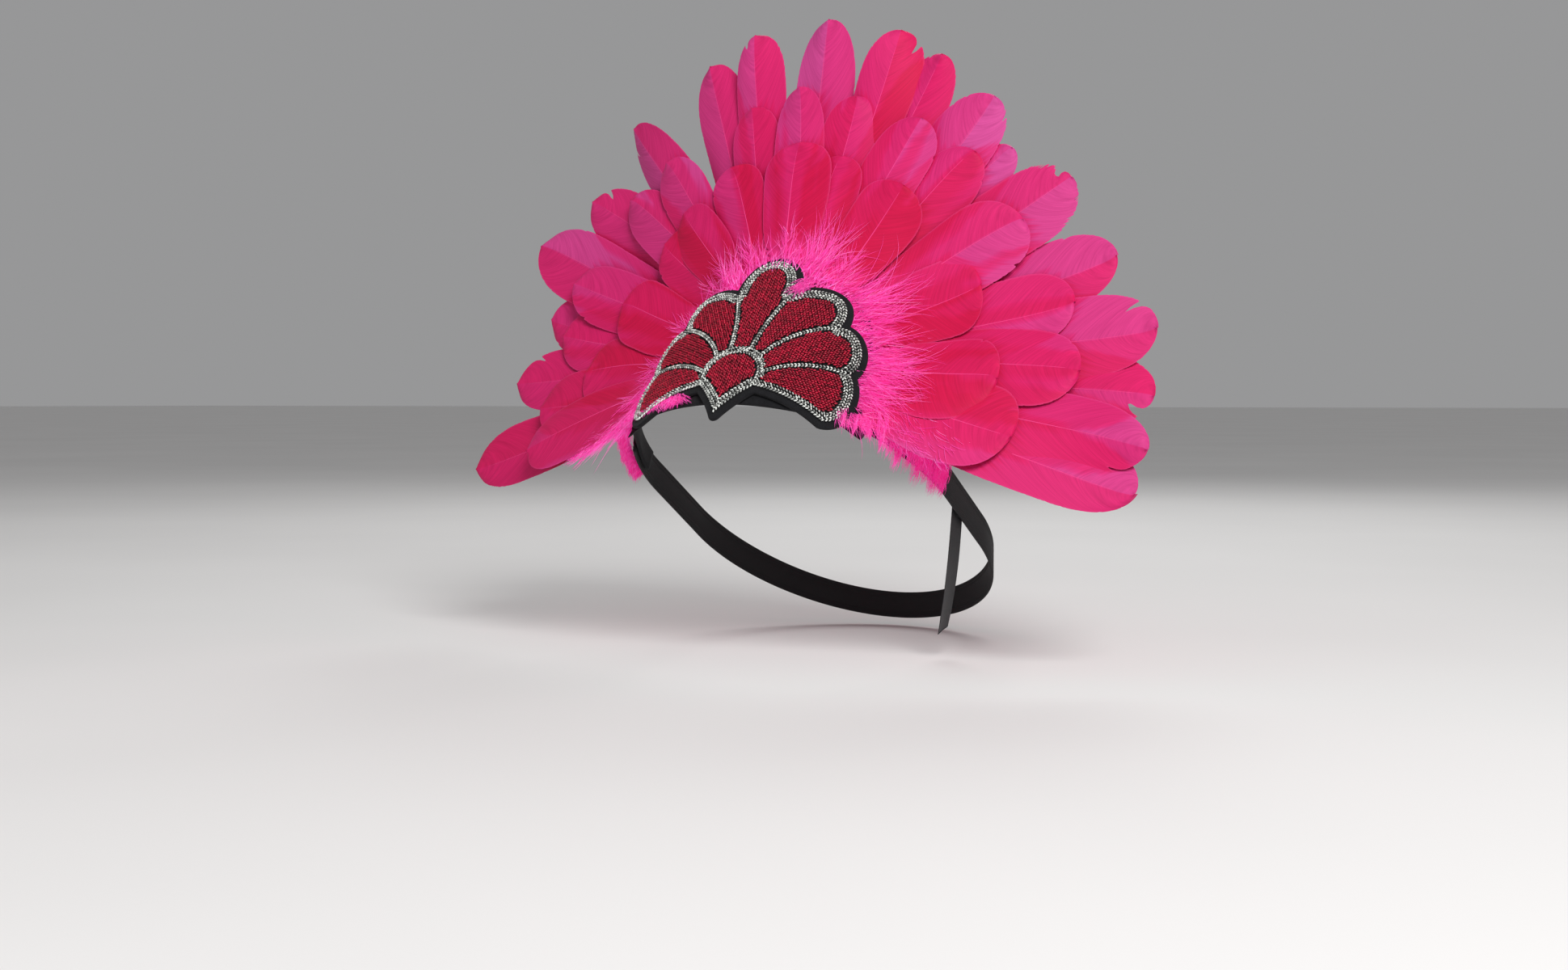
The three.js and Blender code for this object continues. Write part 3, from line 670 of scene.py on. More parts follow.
def edge_distance(points, edge):
    """Distance of each point from a closed edge, and whether it lies inside: the nearest of all segments, and
    an odd number of crossings to one side."""
    start, end = edge, np.roll(edge, -1, 0)
    span = end - start
    t = np.sum((points[:, None] - start) * span, -1) / np.maximum(np.sum(span * span, -1), 1e-9)
    near = start + np.clip(t, 0, 1)[..., None] * span
    away = np.linalg.norm(points[:, None] - near, axis=-1)
    crosses = (start[:, 1] > points[:, 1:2]) != (end[:, 1] > points[:, 1:2])
    rise = np.where(span[:, 1] == 0, 1e-9, span[:, 1])
    place = start[:, 0] + (points[:, 1:2] - start[:, 1]) * span[:, 0] / rise
    inside = np.sum(crosses & (points[:, :1] < place), 1) % 2 == 1
    return away, inside


def traced_rim(margin, count):
    """The palmette's edge with a margin round it: along each of many rays, a point starts far out and moves
    in by its distance from the edge less the margin, until it stays."""
    far, moves = 90.0, 40
    edge = np.concatenate([run[:-1] for run, _ in outline_runs()])
    angle = np.linspace(0, 2 * math.pi, count, endpoint=False)
    ray = np.stack([np.cos(angle), np.sin(angle)], -1)
    radius = np.full(count, far)
    for _ in range(moves):
        away, _ = edge_distance(PALMETTE_CENTRE + ray * radius[:, None], edge)
        radius = radius - (away.min(1) - margin)
    return PALMETTE_CENTRE + ray * radius[:, None]


def spaced(run, pitch, shift=0.0):
    """Points at an even pitch along a run, and the run's direction there."""
    nudge = 0.2
    steps = np.linalg.norm(np.diff(run, axis=0), axis=1)
    length = np.concatenate([[0], np.cumsum(steps)])
    count = max(2, int(length[-1] / pitch))
    at = (np.arange(count) + 0.5 + shift) * length[-1] / count
    at = at[at < length[-1]]
    points = np.stack([np.interp(at, length, run[:, k]) for k in (0, 1)], -1)
    ahead = np.stack([np.interp(at + nudge, length, run[:, k]) for k in (0, 1)], -1)
    behind = np.stack([np.interp(at - nudge, length, run[:, k]) for k in (0, 1)], -1)
    return points, unit(ahead - behind)


def shifted(run, inset):
    """A run moved to its left hand side by inset, along the normal at each point."""
    along = unit(np.gradient(run, axis=0))
    return run + np.stack([-along[:, 1], along[:, 0]], -1) * inset


def grains(places, directions, lift, size, shades):
    """Small grains on the medallion: ellipsoids of three rings of six points and two poles, long along their
    directions. Returns points, faces and the shade of each point."""
    sides = 6
    latitude = np.radians([-50.0, 0.0, 50.0])
    longitude = np.linspace(0, 2 * math.pi, sides, endpoint=False)
    ring = np.stack([np.sin(latitude)[:, None] + 0 * longitude, np.cos(latitude)[:, None] * np.cos(longitude),
                     np.cos(latitude)[:, None] * np.sin(longitude)], -1).reshape(-1, 3)
    shape = np.concatenate([ring, [[-1, 0, 0], [1, 0, 0]]]) * size
    along = directions[:, None]
    beside = np.stack([-directions[:, 1], directions[:, 0]], -1)[:, None]
    flat = places[:, None] + along * shape[:, :1] + beside * shape[:, 1:2]
    points = on_medallion(flat[..., 0], flat[..., 1], lift[:, None] + shape[:, 2])
    start = (np.arange(len(places)) * len(shape))[:, None, None]
    j = np.arange(sides)
    k = (j + 1) % sides
    last_ring = (len(latitude) - 1) * sides
    first = np.stack([k, j, np.full(sides, len(ring))], -1)
    last = np.stack([last_ring + j, last_ring + k, np.full(sides, len(ring) + 1)], -1)
    quads = (grid_quads(len(latitude), sides)[None] + start).reshape(-1, 4)
    triangles = (np.concatenate([first, last])[None] + start).reshape(-1, 3)
    return points.reshape(-1, 3), [quads, triangles], np.repeat(shades, len(shape))


def turned(directions, angle):
    """Flat directions turned by an angle."""
    x, y = directions[:, 0], directions[:, 1]
    c, s = np.cos(angle), np.sin(angle)
    return np.stack([x * c - y * s, x * s + y * c], -1)


# Feathers

def vane_half(width, u):
    """Half the vane's width: a sine from a narrow base to the widest place, then a rounded tip."""
    lower = VANE_BASE + (1 - VANE_BASE) * np.sin(0.5 * math.pi * (np.clip(u, 0, WIDEST) / WIDEST) ** 0.9)
    upper = np.sqrt(np.maximum(0, 1 - (np.clip(u - WIDEST, 0, 1) / (1 - WIDEST)) ** 2.7))
    return 0.5 * width * np.where(u < WIDEST, lower, upper)


class Feather:
    """One feather's line in the front view: from its root behind the medallion's rim to its tip."""

    def __init__(self, row, number, layer, clock, reach, width, lean):
        self.name = f"{row}_{number:02d}"
        self.row, self.layer, self.width = row, layer, width
        clock = math.radians(clock)
        root_clock = clock + math.radians(lean)
        root_reach = fan_rim(root_clock) - ROOT_INSIDE_RIM
        self.root = root_reach * np.array([math.sin(root_clock), math.cos(root_clock)])
        tip = reach * np.array([math.sin(clock), math.cos(clock)])
        self.length = float(np.linalg.norm(tip - self.root))
        self.axis = (tip - self.root) / self.length
        self.across = np.array([self.axis[1], -self.axis[0]])
        self.vane = self.length - QUILL_LENGTH

    def flat(self, distance, offset):
        """Front view place of a point at a distance along the axis and an offset across it."""
        return (self.root[0] + self.axis[0] * distance + self.across[0] * offset,
                self.root[1] + self.axis[1] * distance + self.across[1] * offset)

    def place(self, distance, offset, depth):
        x, z = self.flat(distance, offset)
        return on_fan(self.layer, x, z, depth)

    def covers(self, x, z):
        """How far this feather covers places of the front view: 0 outside its outline, 1 inside."""
        dx, dz = x - self.root[0], z - self.root[1]
        u = (dx * self.axis[0] + dz * self.axis[1] - QUILL_LENGTH) / self.vane
        offset = np.abs(dx * self.across[0] + dz * self.across[1])
        return smooth(vane_half(self.width, u) - offset, -0.4, 0.8) * smooth(u, -0.05, 0.1) * (u < 1)


def all_feathers():
    return [Feather(row, number, *line)
            for row, lines in FEATHERS.items() for number, line in enumerate(lines, 1)]


VANE_COLUMNS = np.array([0, 0.05, 0.22, 0.42, 0.62, 0.8, 0.93, 0.99, 1.0])


def vane_rings(feather, settings, seed):
    """A feather's vane as rings, one for each barb: a ring runs out along the barb on one side of the shaft
    and the barb on the other, and back along the rear face. A barb leaves the shaft at u^1.15 times
    (0.93 + 0.07 u^6) of the vane and meets its edge at 1 - (1 - u)^1.6, so that barbs sweep forwards and fan
    out at the tip. The two halves slope back from the shaft like a roof; a worn feather's barbs part at a
    notch and end short, and its tip twists and curls."""
    rng = np.random.default_rng(seed)
    side, notch, depth, fray, twist, curl = WORN_TIPS.get(
        feather.name, (rng.choice([-1, 1]), rng.uniform(0.6, 0.97), rng.uniform(0.02, 0.1), 0.02,
                       rng.uniform(-1.2, 1.2), rng.uniform(-0.4, 0.8)))
    rows = settings.barbs
    w = np.concatenate([-VANE_COLUMNS[::-1], VANE_COLUMNS[1:]])[None]
    v = np.abs(w)
    u = np.linspace(0, 1, rows)[:, None]
    loose = rng.random((rows, 2)) ** 2
    loose[::2] *= 0.25
    wear = 0.015 + fray * smooth(u, 0.62, 0.95) + 0.5 * (1 - smooth(u, 0.0, 0.2))
    ragged = wear * np.where(w < 0, loose[:, :1], loose[:, 1:])
    cut = depth * np.exp(-(np.abs(u - notch) / (0.01 + 0.02 * depth)) ** 1.4) * (np.sign(w) == side)
    reach_out = v * (1 - ragged) * (1 - cut)
    shaft_end = u ** 1.15 * (0.93 + 0.07 * u ** 6)
    edge_end = 1 - (1 - u) ** 1.6
    a = shaft_end + (edge_end - shaft_end) * reach_out ** 1.25
    phase = rng.uniform(0, 2 * math.pi, 4)
    half = vane_half(feather.width, a) * (1 + 0.025 * np.sin(9 * a + phase[0] + w))
    centre = rng.uniform(-0.14, 0.14)
    offset = half * (centre + np.sign(w) * reach_out * (1 - np.sign(w) * centre))
    offset = offset + rng.uniform(-1.8, 1.8) * np.sin(math.pi * a)
    distance = QUILL_LENGTH + a * feather.vane
    x, z = feather.flat(distance, offset)
    gap = layer_gap(np.arctan2(x, z), np.hypot(x, z))
    bend = settings.roof * gap * reach_out ** 1.5 * (1 + 0.3 * np.sign(w) * np.sin(phase[1]))
    bend = bend + 0.3 * gap * reach_out * np.sin(8 * a + phase[2] + 1.5 * w) * v
    bend = bend + settings.ridge / MM * np.where(np.arange(rows)[:, None] % 2, 1, -1) * smooth(v, 0.02, 0.2)
    free = smooth(a, 0.55, 1.0)
    bend = bend + twist * free * offset / (0.5 * feather.width) + curl * free ** 2
    thickness = settings.vane_thickness / MM * (1 - 0.6 * v)
    front = on_fan(feather.layer, x, z, bend - thickness / 2)
    back = on_fan(feather.layer, x, z, bend + thickness / 2)
    rings = np.concatenate([front, back[:, ::-1]], 1)
    uv = np.stack(np.broadcast_arrays(edge_end * feather.vane / 100, 0.5 + 0.5 * w), -1)
    uv = np.concatenate([uv, uv[:, ::-1]], 1).reshape(-1, 2)
    # Painted shade: one half of the vane is made deeper, as if it sloped away from the light, plus a random
    # shift of the whole feather's colour.
    darker = rng.uniform(0.3, 1.2) * (np.sign(w) == rng.choice([-1, 1])) + rng.uniform(-0.45, 0.45) + 0 * u
    darker = np.concatenate([darker, darker[:, ::-1]], 1).ravel()
    middle = len(VANE_COLUMNS) - 1
    spine = (a[:, middle], offset[:, middle], bend[:, middle])
    return rings, uv, darker, spine


def shaft_rings(feather, spine, radius):
    """A feather's shaft: six-sided rings along its spine, tapering from the root to a hair at the tip."""
    sides, quill, every = 6, 4, 6
    a, offset, bend = (np.concatenate([np.full(quill, values[0]), values[::every]]) for values in spine)
    a[:quill] = -QUILL_LENGTH / feather.vane * np.linspace(1, 0.25, quill)
    offset[:quill] = offset[quill] * np.linspace(0, 0.75, quill)
    angle = np.linspace(0, 2 * math.pi, sides, endpoint=False)[None]
    thick = radius * (1.0 - 0.86 * np.clip(a, 0, 1) ** 0.8)[:, None]
    distance = QUILL_LENGTH + a[:, None] * feather.vane
    sideways = offset[:, None] + thick * np.cos(angle)
    return feather.place(distance, sideways, bend[:, None] + thick * np.sin(angle))


def downy_paths(feather, count, rng):
    """Loose barbs at a feather's base: each leaves the shaft at a wide angle, bends forwards with
    t^1.5 and lifts off the fan with t^1.6, with a small wave."""
    t = HAIR
    rise = rng.random((count, 1))
    start = 7 + (0.24 * feather.vane + 4) * rise ** 1.3
    side = rng.choice([-1.0, 1.0], (count, 1))
    length = rng.uniform(6, 14, (count, 1)) * (1.15 - 0.5 * rise)
    angle = rng.uniform(0.15, 0.95, (count, 1))
    wave = rng.uniform(0, 6.3, (count, 1))
    distance = start + length * (np.cos(angle) * t + 0.25 * t ** 1.5)
    offset = side * length * np.sin(angle) * t * (1 - 0.2 * t) + 0.5 * np.sin(5 * t + wave) * t
    lift = rng.uniform(0.2, 1.0, (count, 1)) * (1.2 + 2.2 * (1 - rise))
    depth = -0.3 - lift * t ** 1.6 + 0.4 * np.sin(6 * t + 2 * wave) * t
    return feather.place(distance, offset, depth)


def colour_property(name, description, default):
    return FloatVectorProperty(name=name, description=description, default=default, subtype="COLOR", min=0,
                               max=1, size=3)


def length_property(name, description, default):
    return FloatProperty(name=name, description=description, default=default, subtype="DISTANCE",
                         unit="LENGTH", min=0)


def count_property(name, description, default, least=0):
    return IntProperty(name=name, description=description, default=default, min=least)


def power_property(name, description, default):
    return FloatProperty(name=name, description=description, default=default, min=0, unit="POWER")


class FeatherSettings(bpy.types.PropertyGroup):
    """Sizes and colours of the feathers"""
    barbs: count_property("Barbs", "Modelled barbs along each side of a vane", 108, 20)
    vane_thickness: length_property("Vane thickness", "Thickness of a vane beside its shaft", 0.00014)
    shaft_radius: length_property("Shaft radius", "Radius of a shaft at its root", 0.00045)
    ridge: length_property("Ridge", "Height of the ridge that each barb makes", 0.00002)
    roof: FloatProperty(name="Roof", default=0.7, min=0, subtype="FACTOR",
                        description="How far a vane's edges lie back, as a share of the gap between layers")
    # Painted shade: colours of a ramp by how many feathers overlap, paler where one shows by itself as if lit
    # through, deeper where more lie behind.
    single_colour: colour_property("Single", "Colour where one feather shows by itself", (0.68, 0.078, 0.32))
    double_colour: colour_property("Double", "Colour where two feathers overlap", (0.73, 0.032, 0.21))
    triple_colour: colour_property("Triple", "Colour where three feathers overlap", (0.74, 0.014, 0.14))
    deep_colour: colour_property("Deep", "Colour where many feathers overlap", (0.66, 0.005, 0.07))
    # Painted light: the paler colour of a vane's thin edge, where light shines through.
    edge_light_colour: colour_property("Edge", "Colour of a vane's thin edge", (0.84, 0.10, 0.36))
    base_colour: colour_property("Base", "Colour of the downy base of a vane", (0.95, 0.06, 0.38))
    shaft_colour: colour_property("Shaft", "Colour of the shafts", (0.84, 0.055, 0.24))


class DownSettings(bpy.types.PropertyGroup):
    """Sizes and colours of the down"""
    hair_radius: length_property("Hair radius", "Radius of a downy barb", 0.00011)
    per_feather: count_property("Per feather", "Downy barbs at the base of each feather", 46)
    fringe: count_property("Fringe", "Downy barbs in each fringe over the band", 1900)
    rim: count_property("Rim", "Short downy barbs behind the medallion's rim", 2500)
    dark_colour: colour_property("Dark", "Darkest dye of the down", (0.95, 0.04, 0.40))
    colour: colour_property("Colour", "Main dye of the down", (1.0, 0.11, 0.55))
    pale_colour: colour_property("Pale", "Palest dye of the down", (1.0, 0.36, 0.78))
    # Painted light: an emission that makes the down shine as if lit from within, in place of light scattered
    # inside it.
    painted_glow_colour: colour_property("Glow", "Colour of the light scattered inside the down", (1.0, 0.02, 0.38))
    painted_glow: FloatProperty(name="Glow strength", default=0.24, min=0,
                        description="Light scattered inside the down")


class BeadSettings(bpy.types.PropertyGroup):
    """Sizes and colours of the beadwork"""
    length: length_property("Length", "Length of a grain", 0.0017)
    width: length_property("Width", "Width of a grain", 0.00092)
    pitch: length_property("Pitch", "Distance between grains along a row", 0.0015)
    crimson: colour_property("Crimson", "Colour of the petals", (0.40, 0.003, 0.028))
    silver: colour_property("Silver", "Colour of the trim", (0.90, 0.93, 0.88))


class FeltSettings(bpy.types.PropertyGroup):
    """Colours of the felt, the elastic and the ribbon"""
    colour: colour_property("Felt", "Colour of the felt", (0.006, 0.006, 0.007))
    elastic: colour_property("Elastic", "Colour of the strap", (0.010, 0.010, 0.011))
    ribbon: colour_property("Ribbon", "Colour of the ribbon tail", (0.014, 0.014, 0.016))
    ribs: count_property("Ribs", "Ribs across the elastic's width", 9)
    rib_height: length_property("Rib height", "Height of the elastic's ribs", 0.00022)


class StageSettings(bpy.types.PropertyGroup):
    """Floor and light"""
    floor: colour_property("Floor", "Colour of the floor", (0.78, 0.77, 0.76))
    floor_height: FloatProperty(name="Floor height", description="Height of the floor", default=-0.068,
                                subtype="DISTANCE", unit="LENGTH")
    key: power_property("Key", "Power of the main light", 21.0)
    fill: power_property("Fill", "Power of the fill light", 0.8)
    back: power_property("Back", "Power of the light behind", 7.0)
    ambient: FloatProperty(name="Ambient", default=0.36, min=0, description="Strength of the light all round")


class HEADDRESS_OT_felt(bpy.types.Operator):
    """Makes the felt base and the felt behind the medallion"""
    bl_idname = "headdress.felt"
    bl_label = "Felt"

    def execute(self, context):
        material = felt_finish(context.scene.headdress_felt)
        across, out = rounded_section(count=28, squareness=0.35)
        turn = np.linspace(-BAND_END, BAND_END, 120)[:, None]
        band = on_band(turn, across[None] * BAND_HEIGHT / 2, BAND_OUT - FELT / 2 + out[None] * FELT / 2)
        clock = np.linspace(-PLATE_CLOCK, PLATE_CLOCK, 160)[:, None]
        middle = fan_rim(clock) + (PLATE_OUTSIDE_RIM - PLATE_INSIDE_RIM) / 2
        reach = middle + across[None] * (PLATE_OUTSIDE_RIM + PLATE_INSIDE_RIM) / 2
        depth = FELT / 2 + out[None] * FELT / 2
        plate = on_fan(PLATE_LAYER, reach * np.sin(clock), reach * np.cos(clock), depth)
        points, faces = joined([sweep_surface(band), sweep_surface(plate)])
        make_piece("felt_base", points, faces, material, ["crown_base"])

        rim = traced_rim(BACKING_MARGIN - EDGE_ROUNDING, 420)
        face = np.linspace(0.02, 0.96, 14)
        share = np.concatenate([face, EDGE_SHARES, face[::-1]])
        low = np.concatenate([np.zeros(len(face)), EDGE_LOWS, np.full(len(face), -BACKING_THICKNESS)])
        flat = PALMETTE_CENTRE + share[:, None, None] * (rim - PALMETTE_CENTRE)
        rings = on_medallion(flat[..., 0], flat[..., 1], low[:, None] + 0 * flat[..., 0])
        points, faces = sweep_surface(rings)
        make_piece("medallion_felt", points, faces, material, ["medallion_backing"])
        return {"FINISHED"}


class HEADDRESS_OT_strap(bpy.types.Operator):
    """Makes the elastic strap and the ribbon tail"""
    bl_idname = "headdress.strap"
    bl_label = "Strap and ribbon"

    def execute(self, context):
        settings = context.scene.headdress_felt
        arc = np.linspace(STRAP_START - math.pi / 2, 0, 40)
        rear = np.linspace(0, math.pi, 120)
        front_left = np.stack([HEAD_RADIUS * np.cos(arc), HEAD_FRONT_Y + HEAD_RADIUS * np.sin(arc)], -1)
        rear_loop = np.stack([HEAD_RADIUS * np.cos(rear), HEAD_BACK_Y + HEAD_RADIUS * np.sin(rear)], -1)
        plan = np.concatenate([front_left, rear_loop, front_left[::-1] * [-1, 1]])
        steps = np.concatenate([[0], np.cumsum(np.linalg.norm(np.diff(plan, axis=0), axis=1))])
        at = np.linspace(0, steps[-1], 200)
        plan = np.stack([np.interp(at, steps, plan[:, k]) for k in (0, 1)], -1)
        path = np.concatenate([plan, (-RIM_SLOPE * plan[:, 1:] - RIM_DROP)], -1)
        along = unit(np.gradient(path, axis=0))
        rise = unit(np.array([0, 0, 1]) - along * along[:, 2:])
        outwards = np.cross(along, rise)
        across, out = rounded_section(count=96, squareness=0.3)
        on_face = np.sign(out) * (np.abs(out) > 0.9)
        ribs = settings.rib_height / MM * np.cos(across * math.pi * settings.ribs) * on_face
        section = across * (STRAP_HEIGHT / 2)
        lift = BAND_OUT + GAP + STRAP_THICKNESS / 2 + out * (STRAP_THICKNESS / 2 - 0.1) + ribs / 2
        upright = rise[:, None] * section[None, :, None]
        rings = path[:, None] + upright + outwards[:, None] * lift[None, :, None]
        length = np.concatenate([[0], np.cumsum(np.linalg.norm(np.diff(path, axis=0), axis=1))])
        uv = np.stack(np.broadcast_arrays(length[:, None], section[None]), -1).reshape(-1, 2)
        uv = np.concatenate([uv, uv[[0, -1]]]) * MM
        points, faces = sweep_surface(rings)
        material = woven_finish("ribbed_elastic", settings.elastic, 0.75, 0.0009)
        strap = make_piece("elastic_strap", points, faces, material, ["head_strap"], uv=uv)

        t = np.linspace(0, 1, 90)[:, None]
        across, out = rounded_section(count=40, squareness=0.25)
        sway = 0.5 * np.sin(5 * t) * t
        line = RIBBON_TOP + (RIBBON_END - RIBBON_TOP) * t
        slant = across[None] * 1.2 * smooth(t, 0.85, 1.0)
        curl = 0.5 * across[None] ** 2 * smooth(t, 0.2, 1.0)
        weft = 0.03 * np.cos(t * 2 * math.pi * 55)
        thick = out[None] * (RIBBON_HALF_THICKNESS + weft)
        bow = RIBBON_BOW * np.sin(math.pi * t) - RIBBON_SET_BACK
        x = line[:, :1] + bow + curl + thick + 0.5 * sway * across[None]
        section = across[None] * RIBBON_WIDTH / 2
        rings = np.stack([x, line[:, 1:2] + section, line[:, 2:] + slant], -1)
        uv = np.stack(np.broadcast_arrays(t * RIBBON_LENGTH, section), -1).reshape(-1, 2)
        uv = np.concatenate([uv, uv[[0, -1]]]) * MM
        points, faces = sweep_surface(rings)
        material = woven_finish("black_ribbon", settings.ribbon, 0.5, 0.0006)
        tail = make_piece("ribbon_cloth", points, faces, material, ["ribbon_tail"], uv=uv)
        return {"FINISHED"}


class HEADDRESS_OT_beads(bpy.types.Operator):
    """Makes the crimson petals and the silver trim of the medallion from rows of grains"""
    bl_idname = "headdress.beads"
    bl_label = "Beadwork"

    def execute(self, context):
        settings = context.scene.headdress_beads
        self.rng = np.random.default_rng(11)
        self.pitch = settings.pitch / MM
        self.size = np.array([settings.length / 2, settings.width / 2, settings.width / 2]) / MM
        self.petals(crimson_finish(settings))
        self.trim(silver_finish(settings))
        return {"FINISHED"}

    def petals(self, material):
        """Fills each petal with straight rows of grains along the petal's line, offset by half a pitch in
        turn and slanted left and right in turn."""
        self.cells = cells = [("petal_top", *petal_edge(PETALS["top"], False, DIVIDER_TRIM))]
        for name in ("upper", "mid", "lower"):
            side_trim = ARCH_TRIM if name == "lower" else DIVIDER_TRIM
            cells.append((f"petal_{name}_left", *petal_edge(PETALS[name], False, side_trim)))
            cells.append((f"petal_{name}_right", *petal_edge(PETALS[name], True, side_trim)))
        cells.append(("petal_heart", *heart_edge()))
        for name, edge, trims in cells:
            middle = edge.mean(0)
            line = np.array([0.0, 1.0]) if name in ("petal_top", "petal_heart") else unit(middle - PETAL_FOOT)
            beside = np.array([-line[1], line[0]])
            rows = np.arange(-ROWS_EACH_SIDE, ROWS_EACH_SIDE + 1)
            columns = np.arange(-GRAINS_EACH_WAY, GRAINS_EACH_WAY + 1)
            row, column = np.meshgrid(rows, columns, indexing="ij")
            along = (column + 0.5 * (row % 2)) * self.pitch
            places = middle + (row * ROW_PITCH)[..., None] * beside + along[..., None] * line
            places, row = places.reshape(-1, 2), row.ravel()
            away, inside = edge_distance(places, edge)
            clear = np.min(away - trims, 1)
            keep = inside & (clear > EDGE_CLEARANCE)
            places, row = places[keep], row[keep]
            slant = np.where(row % 2, GRAIN_SLANT, -GRAIN_SLANT) + self.rng.normal(0, 0.1, len(row))
            directions = turned(np.broadcast_to(line, places.shape), slant)
            places = places + self.rng.normal(0, GRAIN_JITTER, places.shape)
            lift = GRAIN_LIFT + self.rng.normal(0, GRAIN_JITTER, len(places))
            shades = self.rng.random(len(places))
            points, faces, shades = grains(places, directions, lift, self.size * PETAL_GRAIN, shades)
            make_piece(f"beads_{name}", points, faces, material, [name],
                       values={"shade": shades})

    def trim(self, material):
        """Silver rows: chains of grains slanted against each other, two rows along the outline and round the
        heart, one along each divider. A grain too near one already placed, or outside the edge, is left
        out."""
        runs = outline_runs()
        edge = np.concatenate([run[:-1] for run, _ in runs])
        rows = []
        for run, trim in runs:
            insets = LOBE_ROWS if trim == LOBE_TRIM else ARCH_ROWS
            rows += [(shifted(run, inset), inset) for inset in insets]
        rows = [row for row in rows if row[1] < 2] + [row for row in rows if row[1] > 2]
        for flip in (False, True):
            rows += [(curve(PETALS[name], "start", "sideA", "notchA", flip=flip), 0.0)
                     for name in ("upper", "mid", "lower")]
            shoulder = curve(HEART, "corner", "shoulderA", "shoulderB", "top", flip=flip)
            beside = -HEART_ROW if flip else HEART_ROW
            rows += [(shifted(shoulder, beside), 0.0), (shifted(shoulder, -beside), 0.0)]
        placed = np.zeros((0, 2))
        slants = np.zeros((0, 2))
        for run, inset in rows:
            for hand in (1, -1):
                places, along = spaced(shifted(run, CHAIN_HALF * hand), self.pitch)
                away, inside = edge_distance(places, edge)
                keep = inside & (away.min(1) > max(EDGE_CLEARANCE, inset - CHAIN_REACH))
                places, along = places[keep], along[keep]
                if len(placed):
                    keep = np.min(np.linalg.norm(places[:, None] - placed, axis=-1), 1) > CHAIN_CLEARANCE
                    places, along = places[keep], along[keep]
                placed = np.concatenate([placed, places])
                slants = np.concatenate([slants, turned(along, -CHAIN_SLANT * hand)])
        filler = self.filler(placed, edge)
        placed = np.concatenate([placed, filler])
        upright = np.tile([0.0, 1.0], (len(filler), 1))
        slants = np.concatenate([slants, turned(upright, self.rng.uniform(0, 3, len(filler)))])
        count = len(placed)
        lift = TRIM_LIFT + self.rng.normal(0, 0.05, count)
        shades = self.rng.random(count)
        points, faces, shades = grains(placed, slants, lift, self.size * TRIM_GRAIN, shades)
        make_piece("silver_beads", points, faces, material, ["silver_trim"],
                   values={"shade": shades})

    def filler(self, placed, edge):
        """Places for grains where the trim is wider than its rows: a fine lattice, less what lies outside the
        edge, over a petal or near a grain, thinned so that no two are close."""
        x, y = np.meshgrid(np.arange(-60, 60, LATTICE), np.arange(-1, 90, LATTICE))
        places = np.stack([x.ravel(), y.ravel()], -1)
        away, inside = edge_distance(places, edge)
        places = places[inside & (away.min(1) > LATTICE)]
        for _, cell, trims in self.cells:
            away, inside = edge_distance(places, cell)
            places = places[~(inside & (np.min(away - trims, 1) > -PETAL_OVERHANG))]
        kept = []
        places = places[np.min(np.linalg.norm(places[:, None] - placed, axis=-1), 1) > LATTICE_CLEARANCE]
        while len(places):
            kept.append(places[0])
            places = places[np.linalg.norm(places - places[0], axis=-1) > LATTICE_SPACING]
        return np.array(kept)


class HEADDRESS_OT_feathers(bpy.types.Operator):
    """Makes the feathers, each with its vane and shaft"""
    bl_idname = "headdress.feathers"
    bl_label = "Feathers"

    def execute(self, context):
        settings = context.scene.headdress_feathers
        material = feather_finish(settings)
        feathers = all_feathers()
        for seed, feather in enumerate(feathers):
            rings, uv, darker, spine = vane_rings(feather, settings, 100 + seed)
            shaft = shaft_rings(feather, spine, settings.shaft_radius / MM)
            vane = sweep_surface(rings)
            stem = sweep_surface(shaft)
            points, faces = joined([vane, stem])
            x, z = points[:, 0], points[:, 2] - FAN_CENTRE_Z
            # Painted shade: each point is made deeper the more other feathers overlap it, and by the painted
            # shade of one vane half.
            tone = sum(other.covers(x, z) for other in feathers if other is not feather)
            tone[:len(darker)] += darker
            # Painted shade: the vanes are made deeper on the wearer's right, away from the key lamp.
            right = RIGHT_PAINTED_SHADE * smooth(-np.arctan2(x, z), *RIGHT_PAINTED_SHADE_CLOCK)
            # Painted shade: the listed feathers are made deeper than their row.
            tone += DEEPER_PAINTED_SHADE.get(feather.name, 0.0) + right
            distance = (x - feather.root[0]) * feather.axis[0] + (z - feather.root[1]) * feather.axis[1]
            base = BASE_PALING * (1 - smooth(distance, QUILL_LENGTH - 2, QUILL_LENGTH + 0.3 * feather.vane))
            in_shaft = np.concatenate([np.zeros(len(vane[0])), np.ones(len(stem[0]))])
            stem_uv = np.stack([np.linspace(0, 1, len(stem[0])), np.full(len(stem[0]), 0.5)], -1)
            uv = np.concatenate([uv, uv[[0, -1]], stem_uv])
            make_piece(f"plume_{feather.name}", points, faces, material,
                       [f"feather_{feather.name}"], uv=uv,
                       values={"tone": tone, "shaft": in_shaft, "base": base})
        return {"FINISHED"}


